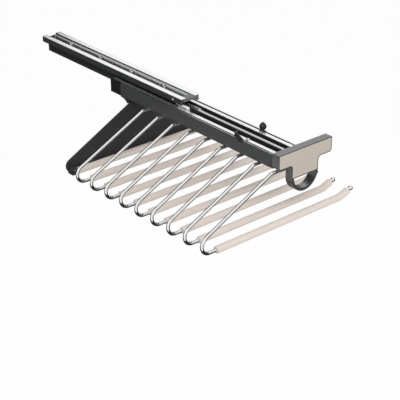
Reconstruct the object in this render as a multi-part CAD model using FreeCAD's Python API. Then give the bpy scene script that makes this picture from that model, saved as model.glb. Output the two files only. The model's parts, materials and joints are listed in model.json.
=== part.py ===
"""Pull out trouser rack that hangs under a shelf, in millimetres, +Z up.

The rail's mounting face is the plane Z = 0 and its middle is the origin.
+Y points into the wardrobe, so the rack pulls out along -Y, and +X is to the right.
The rack is drawn pulled out to its stop.
"""
import FreeCAD, Part
import math
import os
from FreeCAD import Vector as V

# ---- fixed rail -------------------------------------------------------------------
RAIL_LENGTH = 430.0          # mounting rail, front end to rear end
RAIL_WIDTH = 41.4
RAIL_WEB = 3.0               # thickness of the flat bands
RAIL_FLOOR = 1.4             # thickness below the trough
RAIL_LIP = 11.0              # height of the rail's turned down edges
RAIL_LIP_WALL = 2.5
RAIL_ROUND = 0.8             # rounding of the rail's long top edges
RAIL_CORNER_R = 4.0          # front corners, seen from above
TROUGH_WIDTH = 21.2          # hollow between the two bands of the mounting face
TROUGH_STEP = 1.2            # upright edge of the trough
TROUGH_DEPTH = 4.1
MOUNT_HOLE_COUNT = 4
MOUNT_HOLE_SPACING = 96.0
MOUNT_HOLE_R = 2.25
MOUNT_HEAD_R = 3.6           # countersink on the underside
MOUNT_PAD_R = 4.2            # round pad that fills the trough at each screw hole
MOUNT_ACCESS_R = 5.5         # hole in the guide below each countersink

# ---- guide channel under the rail ---------------------------------------------------
GUIDE_WIDTH = 20.8
GUIDE_WALL = 2.4
GUIDE_DROP = 25.5            # from the underside of the rail to the leg's lower edge
GUIDE_SETBACK = 18.0         # guide's front end behind the rail's
GUIDE_INSET = 4.0            # guide's rear end inside the rail's
STOP_TAB_WIDTH = 10.0        # tab bent down from the guide's web, limits the pull
STOP_TAB_GAP = 0.5           # tab to stop block when pulled out
NOSE_LENGTH = 12.0           # plastic plug in the front end of the trough
NOSE_SINK = 0.4              # its top below the mounting face
NOSE_PLATE = 2.0             # its plate in front of the rail
NOSE_BRIDGE = 6.0            # from the plate to the cheeks, below the bands
NOSE_CHEEK = 2.4             # its cheeks inside the rail's lips
NOSE_CHEEK_LENGTH = 34.0
RIVET_R = 1.6
RIVET_HEAD_R = 2.6
RIVET_HEAD_H = 0.9
RIVET_SETBACK = 24.5         # rivets in the lips, from the rail's front end
FOLD_R = 2.0                 # outer bend radius of the guide channel

# ---- beam -------------------------------------------------------------------------
TRAVEL = 233.0               # closing stroke from the drawn pose
CLOSED_GAP = 5.0             # rail end to front frame when closed
BEAM_DROP = 17.5             # mounting face to the beam's top edge
BEAM_WIDTH = 56.0
BEAM_HEIGHT = 25.5
BEAM_WALL = 2.4
BEAM_FLOOR = 2.5
BEAM_TAIL = 19.0             # beam behind the rear panel
BEAM_ROUND = 1.2             # outer lower edges
CAP_LENGTH = 30.0            # rear end collar
CAP_WALL = 4.0
CAP_ROUND = 1.0

# ---- runner profile inside the beam ---------------------------------------------------
RUNNER_WIDTH = 46.4
RUNNER_WALL = 1.6
RUNNER_TOP_GAP = 0.5         # below the beam's top edge
LIP_WIDTH = 7.8              # bright outer ridges
RIDGE_ROUND = 0.7
RIB_WIDTH = 7.5              # bright middle ridge
GROOVE_DEPTH = 16.0
STOP_BLOCK_LENGTH = 10.0     # on the middle ridge, at the beam's rear end
STOP_BLOCK_HEIGHT = 4.0
STOP_BLOCK_SETBACK = 2.0

# ---- ball cages ---------------------------------------------------------------------
CAGE_LENGTH = 130.0
CAGE_THICK = 1.8
CAGE_HEIGHT = 9.0
CAGE_LEAD = 13.0             # how far the cage stands out of the rail when pulled out
LUG_LENGTH = 31.0            # raised lug at the cage's front end
LUG_FRONT = 6.5              # its front corner above the runner
LUG_REAR = 3.0
BALL_R = 2.75
BALL_COUNT = 9               # per cage
BALL_LEAD = 34.0             # cage's front end to the first ball
BALL_MARGIN = 8.0            # last ball to the cage's rear end
RUN_CLEAR = 0.3              # between parts that pass each other

# ---- front frame ----------------------------------------------------------------------
FRAME_DEPTH = 15.0
FRAME_RISE = 2.0             # frame's top edge above the beam's
FRAME_WIDTH = 121.3
WING_HEIGHT = 27.0
STEM_HEIGHT = 51.3           # top edge to the stem's lower edge
STEM_WIDTH = 60.2
COVE_R = 6.0                 # wing to stem
WING_R = 5.0                 # outer lower corners of the wings
STEM_R = 1.5
TOP_R = 0.8                  # upper corners
FRAME_WALL = 2.5
FRAME_FACE = 3.0             # front skin behind the inlay
INLAY_THICK = 1.2
INLAY_RIM = 1.6
INLAY_GAP = 0.05
RIB_THICK = 1.6              # stiffening ribs in the frame's open back
RIB_PITCH = 21.0
TONGUE_LENGTH = 14.0         # plugs into the beam beside the runner
TONGUE_THICK = 2.0
FRAME_SCREW_R = 1.7
FRAME_SCREW_LENGTH = 22.0
FRAME_SCREW_HEAD_R = 3.4
PULL_WALL = 5.0              # half round pull under the stem

# ---- arms -------------------------------------------------------------------------------
ARM_COUNT = 9
ARM_PITCH = 42.0
WIRE_R = 3.0
ARM_ROOT_LENGTH = 16.0       # straight root right of the beam's middle
LEG_TILT = 26.1              # degrees below horizontal
LEG_START = 8.4              # bend of root into leg, left of the beam's wall
ROOT_BEND_R = 10.0
HAIRPIN_R = 15.5
BAR_DROP = 126.0             # beam's top edge to the bar's centre line
BAR_REACH = 128.0            # bar's bend, right of the beam's middle
TIP_TILT = 19.0
TIP_BEND_R = 24.0
TIP_LENGTH = 25.6            # from the bend's corner to the wire's end
SLEEVE_R = 6.4
SLEEVE_START = 14.0          # bare bar between hairpin and sleeve
SLEEVE_ROUND = 1.2
SLEEVE_STOP = 4.4            # bare wire between sleeve and ball
BALL_TIP_R = 4.3

# ---- clamp strip that holds the arms -------------------------------------------------------
STRIP_WIDTH = 26.0
STRIP_THICK = 5.0
STRIP_ROUND = 1.0
SCREW_R = 2.0
SCREW_HEAD_R = 3.8
SCREW_HEAD_H = 2.2
SOCKET_R = 1.2
SOCKET_DEPTH = 1.2

# ---- rear panel ------------------------------------------------------------------------------
PANEL_TILT = 27.7            # slope of its left edge
PANEL_TOP_LEFT = 7.0         # upper corners, from the beam's middle
PANEL_TOP_RIGHT = 40.0
PANEL_REACH = 150.0          # lower right corner
PANEL_TOP_R = 8.0
PANEL_CORNER_R = 13.0
PANEL_BELOW_BAR = 6.0        # bar's centre line to the panel's lower edge
PANEL_STANDOFF = 12.0        # bar's centre line to the panel's face
PANEL_THICK = 3.0
PANEL_RIB = 2.4              # ribs on its back
PANEL_RIB_DEPTH = 4.0
PANEL_RIB_INSET = 12.0       # ribs end this far inside the outline
PANEL_RIB_PITCH = 60.0
BAR_ROOT = 12.0              # bar's root, left of its sleeve
BOSS_R = 6.0                 # socket that holds the bar's root
FLANGE_LEAD = 4.0            # top flange in front of the bar's centre line
FLANGE_THICK = 2.6
FLANGE_INSET = 3.0           # from the beam's sides
FOOT_DROP = 9.0              # gusset from the panel's back to the beam's underside
FOOT_EDGE = 1.2
PANEL_SCREW_SPACING = 32.0
PANEL_SCREW_INSET = 8.0      # from the flange's front

# ---- posts on the beam ------------------------------------------------------------------------
POST_SETBACK = 85.0          # from the front frame
POST_OUTSET = 2.0            # its middle outside the beam's right wall
POST_R = 6.3
POST_TOP_R = 3.0
POST_SKIRT = 4.0             # straight part below the taper
POST_HEIGHT = 12.0
CLIP_THICK = 2.0
CLIP_WIDTH = 9.0
CLIP_DROP = 11.0
BUMPER_SETBACK = 90.0        # from the front frame
BUMPER_ROUND = 1.2
BUMPER_LENGTH = 10.0
BUMPER_WIDTH = 5.5
BUMPER_HEIGHT = 6.5

# ---- places that follow -----------------------------------------------------------------------
RAIL_FRONT = -RAIL_LENGTH / 2
GUIDE_TOP = -TROUGH_DEPTH - RAIL_FLOOR
BEAM_TOP = -BEAM_DROP
BEAM_BOTTOM = BEAM_TOP - BEAM_HEIGHT
BEAM_FRONT = RAIL_FRONT - CLOSED_GAP - TRAVEL
ARM_FRONT = BEAM_FRONT - FRAME_DEPTH / 2
ARM_YS = [ARM_FRONT + i * ARM_PITCH for i in range(ARM_COUNT)]
PANEL_Y = ARM_FRONT + ARM_COUNT * ARM_PITCH
PANEL_BACK = PANEL_Y + PANEL_STANDOFF + PANEL_THICK
BEAM_LENGTH = PANEL_BACK + BEAM_TAIL - BEAM_FRONT
WALL_X = -BEAM_WIDTH / 2
RUNNER_TOP = BEAM_TOP - RUNNER_TOP_GAP
RUNNER_BOTTOM = BEAM_BOTTOM + BEAM_FLOOR
GROOVE_FLOOR = RUNNER_TOP - GROOVE_DEPTH
ROOT_Z = BEAM_BOTTOM - WIRE_R
BAR_Z = BEAM_TOP - BAR_DROP
FRAME_LEFT = WALL_X
FRAME_TOP = BEAM_TOP + FRAME_RISE
FRAME_FOOT = FRAME_TOP - STEM_HEIGHT
PULL_R = STEM_WIDTH / 2
FRAME_MID = FRAME_LEFT + FRAME_WIDTH / 2


# ---- helpers ------------------------------------------------------------------------------------
def box(x0, x1, y0, y1, z0, z1):
    """Block between two corners."""
    return Part.makeBox(x1 - x0, y1 - y0, z1 - z0, V(x0, y0, z0))


def rod(r, start, direction, length):
    """Cylinder from a point along a direction."""
    return Part.makeCylinder(r, length, start, direction)


def extrude_xz(points, y0, length):
    """Prism along +Y with a closed outline given as (x, z) points."""
    ring = [V(x, y0, z) for x, z in points]
    face = Part.Face(Part.makePolygon(ring + ring[:1]))
    return face.extrude(V(0, length, 0))


def mirrored(points):
    """Close a half outline, listed from the middle outwards and back, over x = 0."""
    return points + [(-x, z) for x, z in reversed(points)]


def round_edges(shape, r, pick):
    """Fillet the straight edges whose two ends both satisfy pick."""
    edges = [e for e in shape.Edges
             if len(e.Vertexes) == 2 and all(pick(v.Point) for v in e.Vertexes)]
    return shape.makeFillet(r, edges)


def along_y(edge):
    """True for an edge that runs along Y."""
    a, b = [v.Point for v in edge.Vertexes]
    return abs(a.x - b.x) < 1e-6 and abs(a.z - b.z) < 1e-6


def fillet_long(shape, r, pick):
    """Fillet the edges along Y whose (x, z) place satisfies pick."""
    edges = [e for e in shape.Edges
             if len(e.Vertexes) == 2 and along_y(e) and pick(e.Vertexes[0].Point)]
    return shape.makeFillet(r, edges)


def rounded_path(points, radii):
    """Wire through points in one plane, with an arc of its own radius at each inner point."""
    edges = []
    start = points[0]
    for before, corner, after, r in zip(points, points[1:], points[2:], radii):
        a = (before - corner).normalize()
        b = (after - corner).normalize()
        half = a.getAngle(b) / 2
        back = r / math.tan(half)
        first = corner + a * back
        last = corner + b * back
        middle = corner + (a + b).normalize() * (r / math.sin(half) - r)
        edges.append(Part.makeLine(start, first))
        edges.append(Part.Arc(first, middle, last).toShape())
        start = last
    edges.append(Part.makeLine(start, points[-1]))
    return Part.Wire(edges)


def tube_along(path, r):
    """Round bar along a wire."""
    edge = path.Edges[0]
    start = edge.valueAt(edge.FirstParameter)
    direction = edge.tangentAt(edge.FirstParameter)
    ring = Part.Wire(Part.makeCircle(r, start, direction))
    return path.makePipeShell([ring], True, False)


# ---- fixed rail ----------------------------------------------------------------------------------
def mount_hole_ys():
    first = -(MOUNT_HOLE_COUNT - 1) / 2 * MOUNT_HOLE_SPACING
    return [first + i * MOUNT_HOLE_SPACING for i in range(MOUNT_HOLE_COUNT)]


def rail_section(y):
    """Section of the rail: two flat bands with a trough between them, and turned down lips."""
    half = RAIL_WIDTH / 2
    trough = TROUGH_WIDTH / 2
    inner = half - RAIL_LIP_WALL
    outline = mirrored([(trough, 0), (half, 0), (half, -RAIL_LIP), (inner, -RAIL_LIP),
                        (inner, -RAIL_WEB), (trough, -RAIL_WEB), (trough, GUIDE_TOP)])
    low = [V(-trough, y, -TROUGH_STEP), V(0, y, -TROUGH_DEPTH), V(trough, y, -TROUGH_STEP)]
    ring = [low[2]] + [V(x, y, z) for x, z in outline] + [low[0]]
    edges = [Part.makeLine(a, b) for a, b in zip(ring, ring[1:])]
    edges.append(Part.Arc(*low).toShape())
    return Part.Face(Part.Wire(edges))


def rail_corners():
    """What the rounded front corners take off the rail."""
    reach = RAIL_WIDTH / 2 - RAIL_CORNER_R
    cut = []
    for side in (-1, 1):
        x0, x1 = sorted((side * reach, side * RAIL_WIDTH / 2))
        corner = box(x0, x1, RAIL_FRONT, RAIL_FRONT + RAIL_CORNER_R, -RAIL_LIP, 0)
        centre = V(side * reach, RAIL_FRONT + RAIL_CORNER_R, -RAIL_LIP)
        cut.append(corner.cut(rod(RAIL_CORNER_R, centre, V(0, 0, 1), RAIL_LIP)))
    return Part.makeCompound(cut)


def mounting_rail():
    """Aluminium rail with a trough along its mounting face and screw holes in it."""
    half = RAIL_WIDTH / 2
    body = rail_section(RAIL_FRONT).extrude(V(0, RAIL_LENGTH, 0))
    body = fillet_long(body, RAIL_ROUND, lambda p: abs(p.x) > half - 1e-3 and p.z > -1e-3)
    body = body.cut(rail_corners())
    depth = MOUNT_HEAD_R - MOUNT_HOLE_R
    up = V(0, 0, 1)
    for y in mount_hole_ys():
        low = V(0, y, GUIDE_TOP)
        body = body.fuse(rod(MOUNT_PAD_R, low, up, -GUIDE_TOP))
        body = body.cut(rod(MOUNT_HOLE_R, low, up, -GUIDE_TOP))
        body = body.cut(Part.makeCone(MOUNT_HEAD_R, MOUNT_HOLE_R, depth, low, up))
    for rivet in rail_rivet_list():
        body = body.cut(rivet)
    return body.removeSplitter()


def guide_channel():
    """Steel channel under the rail, open downwards, with a ball race in each leg."""
    half = GUIDE_WIDTH / 2
    inner = half - GUIDE_WALL
    top = GUIDE_TOP
    low = top - GUIDE_DROP
    outline = mirrored([(half, top), (half, low), (inner, low), (inner, top - GUIDE_WALL)])
    length = RAIL_LENGTH - GUIDE_SETBACK - GUIDE_INSET
    body = extrude_xz(outline, RAIL_FRONT + GUIDE_SETBACK, length)
    body = fillet_long(body, FOLD_R, lambda p: abs(p.x) > half - 1e-3 and p.z > top - 1e-3)
    body = cut_races(body, RAIL_FRONT, RAIL_LENGTH)
    for y in mount_hole_ys():
        body = body.cut(rod(MOUNT_ACCESS_R, V(0, y, top - GUIDE_WALL), V(0, 0, 1), GUIDE_WALL))
    for rivet in rail_rivet_list():
        body = body.cut(rivet)
    tab_y = stop_block_y() - STOP_TAB_GAP - GUIDE_WALL
    tab = box(-STOP_TAB_WIDTH / 2, STOP_TAB_WIDTH / 2, tab_y, tab_y + GUIDE_WALL,
              RUNNER_TOP + 2 * RUN_CLEAR, top - GUIDE_WALL)
    return body.fuse(tab)


def race_z():
    """Height of the ball centres."""
    return RUNNER_TOP - GROOVE_DEPTH / 2


def cut_races(body, y0, length):
    """Cut the ball races that guide and runner share."""
    for side in (-1, 1):
        start = V(cage_x(side), y0, race_z())
        body = body.cut(rod(BALL_R + RUN_CLEAR, start, V(0, 1, 0), length))
    return body


def rivet_places():
    """Place, outward direction and grip of the rivets: two in the web, two in the lips."""
    web = [(0, y, GUIDE_TOP - GUIDE_WALL, V(0, 0, -1), GUIDE_WALL + RAIL_FLOOR)
           for y in (-MOUNT_HOLE_SPACING, MOUNT_HOLE_SPACING)]
    lips = [(side * RAIL_WIDTH / 2, RAIL_FRONT + RIVET_SETBACK, -(RAIL_WEB + RAIL_LIP) / 2,
             V(side, 0, 0), RAIL_LIP_WALL + NOSE_CHEEK) for side in (-1, 1)]
    return web + lips


def rail_rivet_list():
    """Rivets that hold the guide and the nose to the rail."""
    made = []
    for x, y, z, direction, grip in rivet_places():
        shank = rod(RIVET_R, V(x, y, z) - direction * grip, direction, grip)
        head = Part.makeCone(RIVET_HEAD_R, RIVET_R, RIVET_HEAD_H, V(x, y, z), direction)
        made.append(shank.fuse(head))
    return made


def guide_nose():
    """Plastic nose: a plug in the trough, a plate before it and cheeks inside the lips."""
    trough = TROUGH_WIDTH / 2
    reach = RAIL_WIDTH / 2 - RAIL_CORNER_R
    inner = RAIL_WIDTH / 2 - RAIL_LIP_WALL
    body = box(-trough, trough, RAIL_FRONT, RAIL_FRONT + NOSE_LENGTH, GUIDE_TOP, -NOSE_SINK)
    body = body.cut(rail_section(RAIL_FRONT).extrude(V(0, NOSE_LENGTH, 0)))
    body = body.fuse(box(-reach, reach, RAIL_FRONT - NOSE_PLATE, RAIL_FRONT, GUIDE_TOP,
                         -NOSE_SINK))
    for side in (-1, 1):
        x0, x1 = sorted((side * trough, side * reach))
        body = body.fuse(box(x0, x1, RAIL_FRONT, RAIL_FRONT + NOSE_BRIDGE, GUIDE_TOP,
                             -RAIL_WEB))
        x0, x1 = sorted((side * inner, side * (inner - NOSE_CHEEK)))
        body = body.fuse(box(x0, x1, RAIL_FRONT + NOSE_PLATE, RAIL_FRONT + NOSE_CHEEK_LENGTH,
                             RUN_CLEAR - RAIL_LIP, -RAIL_WEB))
    for rivet in rail_rivet_list():
        body = body.cut(rivet)
    return body.removeSplitter()


def stop_block_y():
    """Front face of the stop block."""
    rear = BEAM_FRONT + BEAM_LENGTH + CAP_LENGTH
    return rear - STOP_BLOCK_SETBACK - STOP_BLOCK_LENGTH


# ---- beam ----------------------------------------------------------------------------------------
def beam():
    """Open topped channel that carries everything that moves."""
    half = BEAM_WIDTH / 2
    inner = half - BEAM_WALL
    floor = BEAM_BOTTOM + BEAM_FLOOR
    outline = [(-half, BEAM_TOP), (-half, BEAM_BOTTOM), (half, BEAM_BOTTOM), (half, BEAM_TOP),
               (inner, BEAM_TOP), (inner, floor), (-inner, floor), (-inner, BEAM_TOP)]
    body = extrude_xz(outline, BEAM_FRONT, BEAM_LENGTH)
    for x, y in strip_screw_places() + panel_screw_places():
        body = body.cut(rod(SCREW_R, V(x, y, BEAM_BOTTOM), V(0, 0, 1), BEAM_FLOOR))
    return fillet_long(body, BEAM_ROUND,
                       lambda p: abs(p.x) > half - 1e-3 and p.z < BEAM_BOTTOM + 1e-3)


def runner_profile():
    """Profile with three ridges and two grooves, in which the guide's legs run."""
    half = RUNNER_WIDTH / 2
    lip = half - LIP_WIDTH
    rib = RIB_WIDTH / 2
    t = RUNNER_WALL
    outline = mirrored([
        (rib, RUNNER_TOP), (rib, GROOVE_FLOOR), (lip, GROOVE_FLOOR), (lip, RUNNER_TOP),
        (half, RUNNER_TOP), (half, RUNNER_BOTTOM), (half - t, RUNNER_BOTTOM),
        (half - t, RUNNER_TOP - t), (lip + t, RUNNER_TOP - t), (lip + t, GROOVE_FLOOR - t),
        (rib - t, GROOVE_FLOOR - t), (rib - t, RUNNER_TOP - t)])
    body = extrude_xz(outline, BEAM_FRONT, BEAM_LENGTH + CAP_LENGTH)
    body = fillet_long(body, RIDGE_ROUND, lambda p: p.z > RUNNER_TOP - 1e-3)
    return cut_races(body, BEAM_FRONT, BEAM_LENGTH + CAP_LENGTH)


def stop_block():
    """Block on the middle ridge that meets the guide's tab when the rack is pulled out."""
    half = RIB_WIDTH / 2
    y = stop_block_y()
    return box(-half, half, y, y + STOP_BLOCK_LENGTH, RUNNER_TOP, RUNNER_TOP + STOP_BLOCK_HEIGHT)


def end_cap():
    """Collar on the beam's rear end, open above so that the rail passes."""
    half = BEAM_WIDTH / 2
    inner = half - CAP_WALL
    floor = BEAM_BOTTOM + BEAM_FLOOR
    outline = [(-half, BEAM_TOP), (-half, BEAM_BOTTOM), (half, BEAM_BOTTOM), (half, BEAM_TOP),
               (inner, BEAM_TOP), (inner, floor), (-inner, floor), (-inner, BEAM_TOP)]
    body = extrude_xz(outline, BEAM_FRONT + BEAM_LENGTH, CAP_LENGTH)
    return fillet_long(body, CAP_ROUND,
                       lambda p: abs(p.x) > half - 1e-3 and p.z < BEAM_BOTTOM + 1e-3)


# ---- ball cages ------------------------------------------------------------------------------------
def cage_x(side):
    """Middle of the gap between guide leg and runner lip."""
    leg = GUIDE_WIDTH / 2
    lip = RUNNER_WIDTH / 2 - LIP_WIDTH
    return side * (leg + lip) / 2


def ball_ys():
    start = RAIL_FRONT - CAGE_LEAD + BALL_LEAD
    step = (CAGE_LENGTH - BALL_LEAD - BALL_MARGIN) / (BALL_COUNT - 1)
    return [start + i * step for i in range(BALL_COUNT)]


def ball_cage(side):
    """Strip that keeps the balls apart, with a raised lug at its front end."""
    x = cage_x(side)
    z = race_z()
    y0 = RAIL_FRONT - CAGE_LEAD
    body = box(x - CAGE_THICK / 2, x + CAGE_THICK / 2, y0, y0 + CAGE_LENGTH,
               z - CAGE_HEIGHT / 2, z + CAGE_HEIGHT / 2)
    body = body.fuse(cage_lug(x - CAGE_THICK / 2, y0, z))
    for y in ball_ys():
        body = body.cut(rod(BALL_R, V(x - CAGE_THICK, y, z), V(1, 0, 0), 2 * CAGE_THICK))
    return body


def cage_lug(x, y, z):
    """Lug that rises past the runner and slopes down to the rear."""
    points = [(y, z), (y, RUNNER_TOP + LUG_FRONT), (y + LUG_LENGTH, RUNNER_TOP + LUG_REAR),
              (y + LUG_LENGTH, z)]
    ring = [V(x, a, b) for a, b in points]
    return Part.Face(Part.makePolygon(ring + ring[:1])).extrude(V(CAGE_THICK, 0, 0))


def balls(side):
    """Steel balls of one cage."""
    centre = [V(cage_x(side), y, race_z()) for y in ball_ys()]
    return Part.makeCompound([Part.makeSphere(BALL_R, c) for c in centre])


# ---- front frame -----------------------------------------------------------------------------------
def tee_wire(inset, y):
    """Outline of the T shaped plate, moved in by inset all round."""
    left = FRAME_LEFT + inset
    right = FRAME_LEFT + FRAME_WIDTH - inset
    top = FRAME_TOP - inset
    wing = FRAME_TOP - WING_HEIGHT + inset
    foot = FRAME_FOOT + inset
    stem_l = FRAME_MID - STEM_WIDTH / 2 + inset
    stem_r = FRAME_MID + STEM_WIDTH / 2 - inset
    corners = [(right, top, TOP_R), (right, wing, WING_R - inset),
               (stem_r, wing, COVE_R + inset), (stem_r, foot, STEM_R),
               (stem_l, foot, STEM_R), (stem_l, wing, COVE_R + inset),
               (left, wing, WING_R - inset), (left, top, TOP_R)]
    middle = V((left + right) / 2, y, top)
    points = [middle] + [V(x, y, z) for x, z, r in corners] + [middle]
    return rounded_path(points, [r for x, z, r in corners])


def tee_prism(inset, y, depth):
    return Part.Face(tee_wire(inset, y)).extrude(V(0, depth, 0))


def pull_ring():
    """Half round pull that hangs from the stem."""
    y = BEAM_FRONT - FRAME_DEPTH
    middle = V(FRAME_MID, y, FRAME_FOOT + STEM_R)
    outer = rod(PULL_R, middle, V(0, 1, 0), FRAME_DEPTH)
    hole = rod(PULL_R - PULL_WALL, middle, V(0, 1, 0), FRAME_DEPTH)
    keep = box(FRAME_MID - PULL_R - 1, FRAME_MID + PULL_R + 1, y, y + FRAME_DEPTH,
               middle.z - PULL_R - 1, middle.z)
    return outer.cut(hole).common(keep)


def front_frame():
    """Moulded frame with a pull, a seat for the inlay and an open back."""
    y = BEAM_FRONT - FRAME_DEPTH
    body = tee_prism(0, y, FRAME_DEPTH).fuse(pull_ring())
    body = body.cut(tee_prism(INLAY_RIM, y, INLAY_THICK))
    hollow = tee_prism(FRAME_WALL, y + INLAY_THICK + FRAME_FACE, FRAME_DEPTH)
    keep_x = -WALL_X + BEAM_WALL
    hollow = hollow.cut(box(FRAME_LEFT, keep_x, y, y + 2 * FRAME_DEPTH,
                            FRAME_FOOT, FRAME_TOP - FRAME_WALL))
    body = body.cut(hollow.cut(frame_ribs()))
    body = body.fuse(frame_tongues())
    for screw in frame_screw_list():
        body = body.cut(screw)
    root = rod(WIRE_R, V(WALL_X, ARM_FRONT, ROOT_Z), V(1, 0, 0), -WALL_X + ARM_ROOT_LENGTH)
    return body.cut(root).removeSplitter()


def frame_ribs():
    """Upright ribs across the open back, at an even pitch from the middle of the frame."""
    ribs = []
    depth = FRAME_DEPTH - RIB_THICK
    for i in (-1, 0, 1, 2):
        x = FRAME_MID + (i + 0.5) * RIB_PITCH
        ribs.append(box(x - RIB_THICK / 2, x + RIB_THICK / 2, BEAM_FRONT - FRAME_DEPTH,
                        BEAM_FRONT - FRAME_DEPTH + depth, FRAME_FOOT, FRAME_TOP))
    return Part.makeCompound(ribs)


def frame_tongues():
    """Two tongues that plug into the beam between its walls and the runner."""
    outer = BEAM_WIDTH / 2 - BEAM_WALL - INLAY_GAP
    low = BEAM_BOTTOM + BEAM_FLOOR + INLAY_GAP
    made = []
    for side in (-1, 1):
        x0, x1 = sorted((side * outer, side * (outer - TONGUE_THICK)))
        made.append(box(x0, x1, BEAM_FRONT - 1, BEAM_FRONT + TONGUE_LENGTH, low, RUNNER_TOP))
    return Part.makeCompound(made)


def frame_screw_list():
    """Countersunk screws through the frame into the runner's hollow ridges."""
    x = (RUNNER_WIDTH - LIP_WIDTH) / 2
    z = RUNNER_TOP - RUNNER_WALL - LIP_WIDTH / 2
    seat = BEAM_FRONT - FRAME_DEPTH + INLAY_THICK
    made = []
    for side in (-1, 1):
        place = V(side * x, seat, z)
        sink = FRAME_SCREW_HEAD_R - FRAME_SCREW_R
        head = Part.makeCone(FRAME_SCREW_HEAD_R, FRAME_SCREW_R, sink, place, V(0, 1, 0))
        shank = rod(FRAME_SCREW_R, place, V(0, 1, 0), FRAME_SCREW_LENGTH)
        made.append(head.fuse(shank).removeSplitter())
    return made


def inlay():
    """Thin metal face plate in the frame."""
    return tee_prism(INLAY_RIM + INLAY_GAP, BEAM_FRONT - FRAME_DEPTH, INLAY_THICK)


# ---- arms ------------------------------------------------------------------------------------------
def leg_point(z):
    """Point of the leg's centre line at a height."""
    corner_x = WALL_X - LEG_START
    return corner_x - (ROOT_Z - z) / math.tan(math.radians(LEG_TILT))


def arm_path(y):
    """Centre line of one arm: root, leg, hairpin, bar and raised tip."""
    corner = V(WALL_X - LEG_START, y, ROOT_Z)
    hairpin = V(leg_point(BAR_Z), y, BAR_Z)
    bend = V(BAR_REACH, y, BAR_Z)
    tilt = math.radians(TIP_TILT)
    tip = bend + V(math.cos(tilt), 0, math.sin(tilt)) * TIP_LENGTH
    root = V(ARM_ROOT_LENGTH, y, ROOT_Z)
    return rounded_path([root, corner, hairpin, bend, tip],
                        [ROOT_BEND_R, HAIRPIN_R, TIP_BEND_R])


def arm_wire(y):
    return tube_along(arm_path(y), WIRE_R)


def hairpin_x():
    """Where the hairpin ends and the bar begins."""
    half = math.radians(LEG_TILT) / 2
    return leg_point(BAR_Z) + HAIRPIN_R / math.tan(half)


def sleeve(y, wire):
    """Soft sleeve over the bar and its raised tip."""
    tilt = math.radians(TIP_TILT)
    along = V(math.cos(tilt), 0, math.sin(tilt))
    start = V(hairpin_x() + SLEEVE_START, y, BAR_Z)
    bend = V(BAR_REACH, y, BAR_Z)
    end = bend + along * (TIP_LENGTH - SLEEVE_STOP)
    path = rounded_path([start, bend, end], [TIP_BEND_R])
    outer = tube_along(path, SLEEVE_R)
    ends = [e for e in outer.Edges if e.Closed and abs(e.Length - 2 * math.pi * SLEEVE_R) < 1e-3
            and (abs(e.CenterOfMass.x - start.x) < 1e-3 or (e.CenterOfMass - end).Length < 1e-2)]
    outer = outer.makeFillet(SLEEVE_ROUND, ends)
    return outer.cut(wire)


def tip_ball(y, wire):
    """Bright ball on the wire's end."""
    tilt = math.radians(TIP_TILT)
    along = V(math.cos(tilt), 0, math.sin(tilt))
    end = V(BAR_REACH, y, BAR_Z) + along * TIP_LENGTH
    ball = Part.makeSphere(BALL_TIP_R, end + along * (BALL_TIP_R * 0.6))
    return ball.cut(wire).cut(sleeve(y, wire))


# ---- clamp strip ---------------------------------------------------------------------------------------
def strip_ys():
    """Front and rear end of the strip."""
    return BEAM_FRONT + ARM_PITCH / 4, PANEL_Y - FLANGE_LEAD


def strip_screw_places():
    """Screws (x, y) between every second pair of arms."""
    return [(0, y + ARM_PITCH / 2) for y in ARM_YS[1::2]]


def panel_screw_places():
    """Screws (x, y) through the panel's flange."""
    y = PANEL_Y - FLANGE_LEAD + PANEL_SCREW_INSET
    return [(side * PANEL_SCREW_SPACING / 2, y) for side in (-1, 1)]


def clamp_strip():
    """Bar under the beam with a seat for each arm's root."""
    y0, y1 = strip_ys()
    half = STRIP_WIDTH / 2
    low = ROOT_Z - STRIP_THICK
    body = box(-half, half, y0, y1, low, BEAM_BOTTOM)
    body = fillet_long(body, STRIP_ROUND, lambda p: p.z < low + 1e-3)
    for y in ARM_YS[1:]:
        seat = rod(WIRE_R, V(-half, y, ROOT_Z), V(1, 0, 0), STRIP_WIDTH)
        mouth = box(-half, half, y - WIRE_R, y + WIRE_R, ROOT_Z, BEAM_BOTTOM)
        body = body.cut(seat).cut(mouth)
    for x, y in strip_screw_places():
        body = body.cut(rod(SCREW_R, V(x, y, low), V(0, 0, 1), BEAM_BOTTOM - low))
    return body


def screws_up(places, seat):
    """Screws from below, with their heads against the height seat, up through the beam's floor."""
    up = V(0, 0, 1)
    made = []
    for x, y in places:
        head = rod(SCREW_HEAD_R, V(x, y, seat - SCREW_HEAD_H), up, SCREW_HEAD_H)
        shank = rod(SCREW_R, V(x, y, seat), up, BEAM_BOTTOM + BEAM_FLOOR - seat)
        socket = rod(SOCKET_R, V(x, y, seat - SCREW_HEAD_H), up, SOCKET_DEPTH)
        made.append(head.fuse(shank).cut(socket))
    return Part.makeCompound(made)


# ---- rear panel ---------------------------------------------------------------------------------------
def panel_outline(inset, y):
    """Outline of the panel, moved in by inset all round."""
    rise = BEAM_BOTTOM - BAR_Z + PANEL_BELOW_BAR
    left_tilt = math.radians(PANEL_TILT)
    right_tilt = math.atan2(rise, PANEL_REACH - PANEL_TOP_RIGHT)
    top = BEAM_BOTTOM - inset
    low = BAR_Z - PANEL_BELOW_BAR + inset
    low_left = -PANEL_TOP_LEFT - rise / math.tan(left_tilt)
    corners = [(-PANEL_TOP_LEFT + inset * math.tan(left_tilt / 2), top, PANEL_TOP_R),
               (low_left + inset / math.tan(left_tilt / 2), low, PANEL_CORNER_R - inset),
               (PANEL_REACH - inset / math.tan(right_tilt / 2), low, PANEL_CORNER_R - inset),
               (PANEL_TOP_RIGHT - inset * math.tan(right_tilt / 2), top, PANEL_TOP_R)]
    points = [V(0, y, top)] + [V(x, y, z) for x, z, r in corners] + [V(0, y, top)]
    return rounded_path(points, [r for x, z, r in corners])


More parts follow.
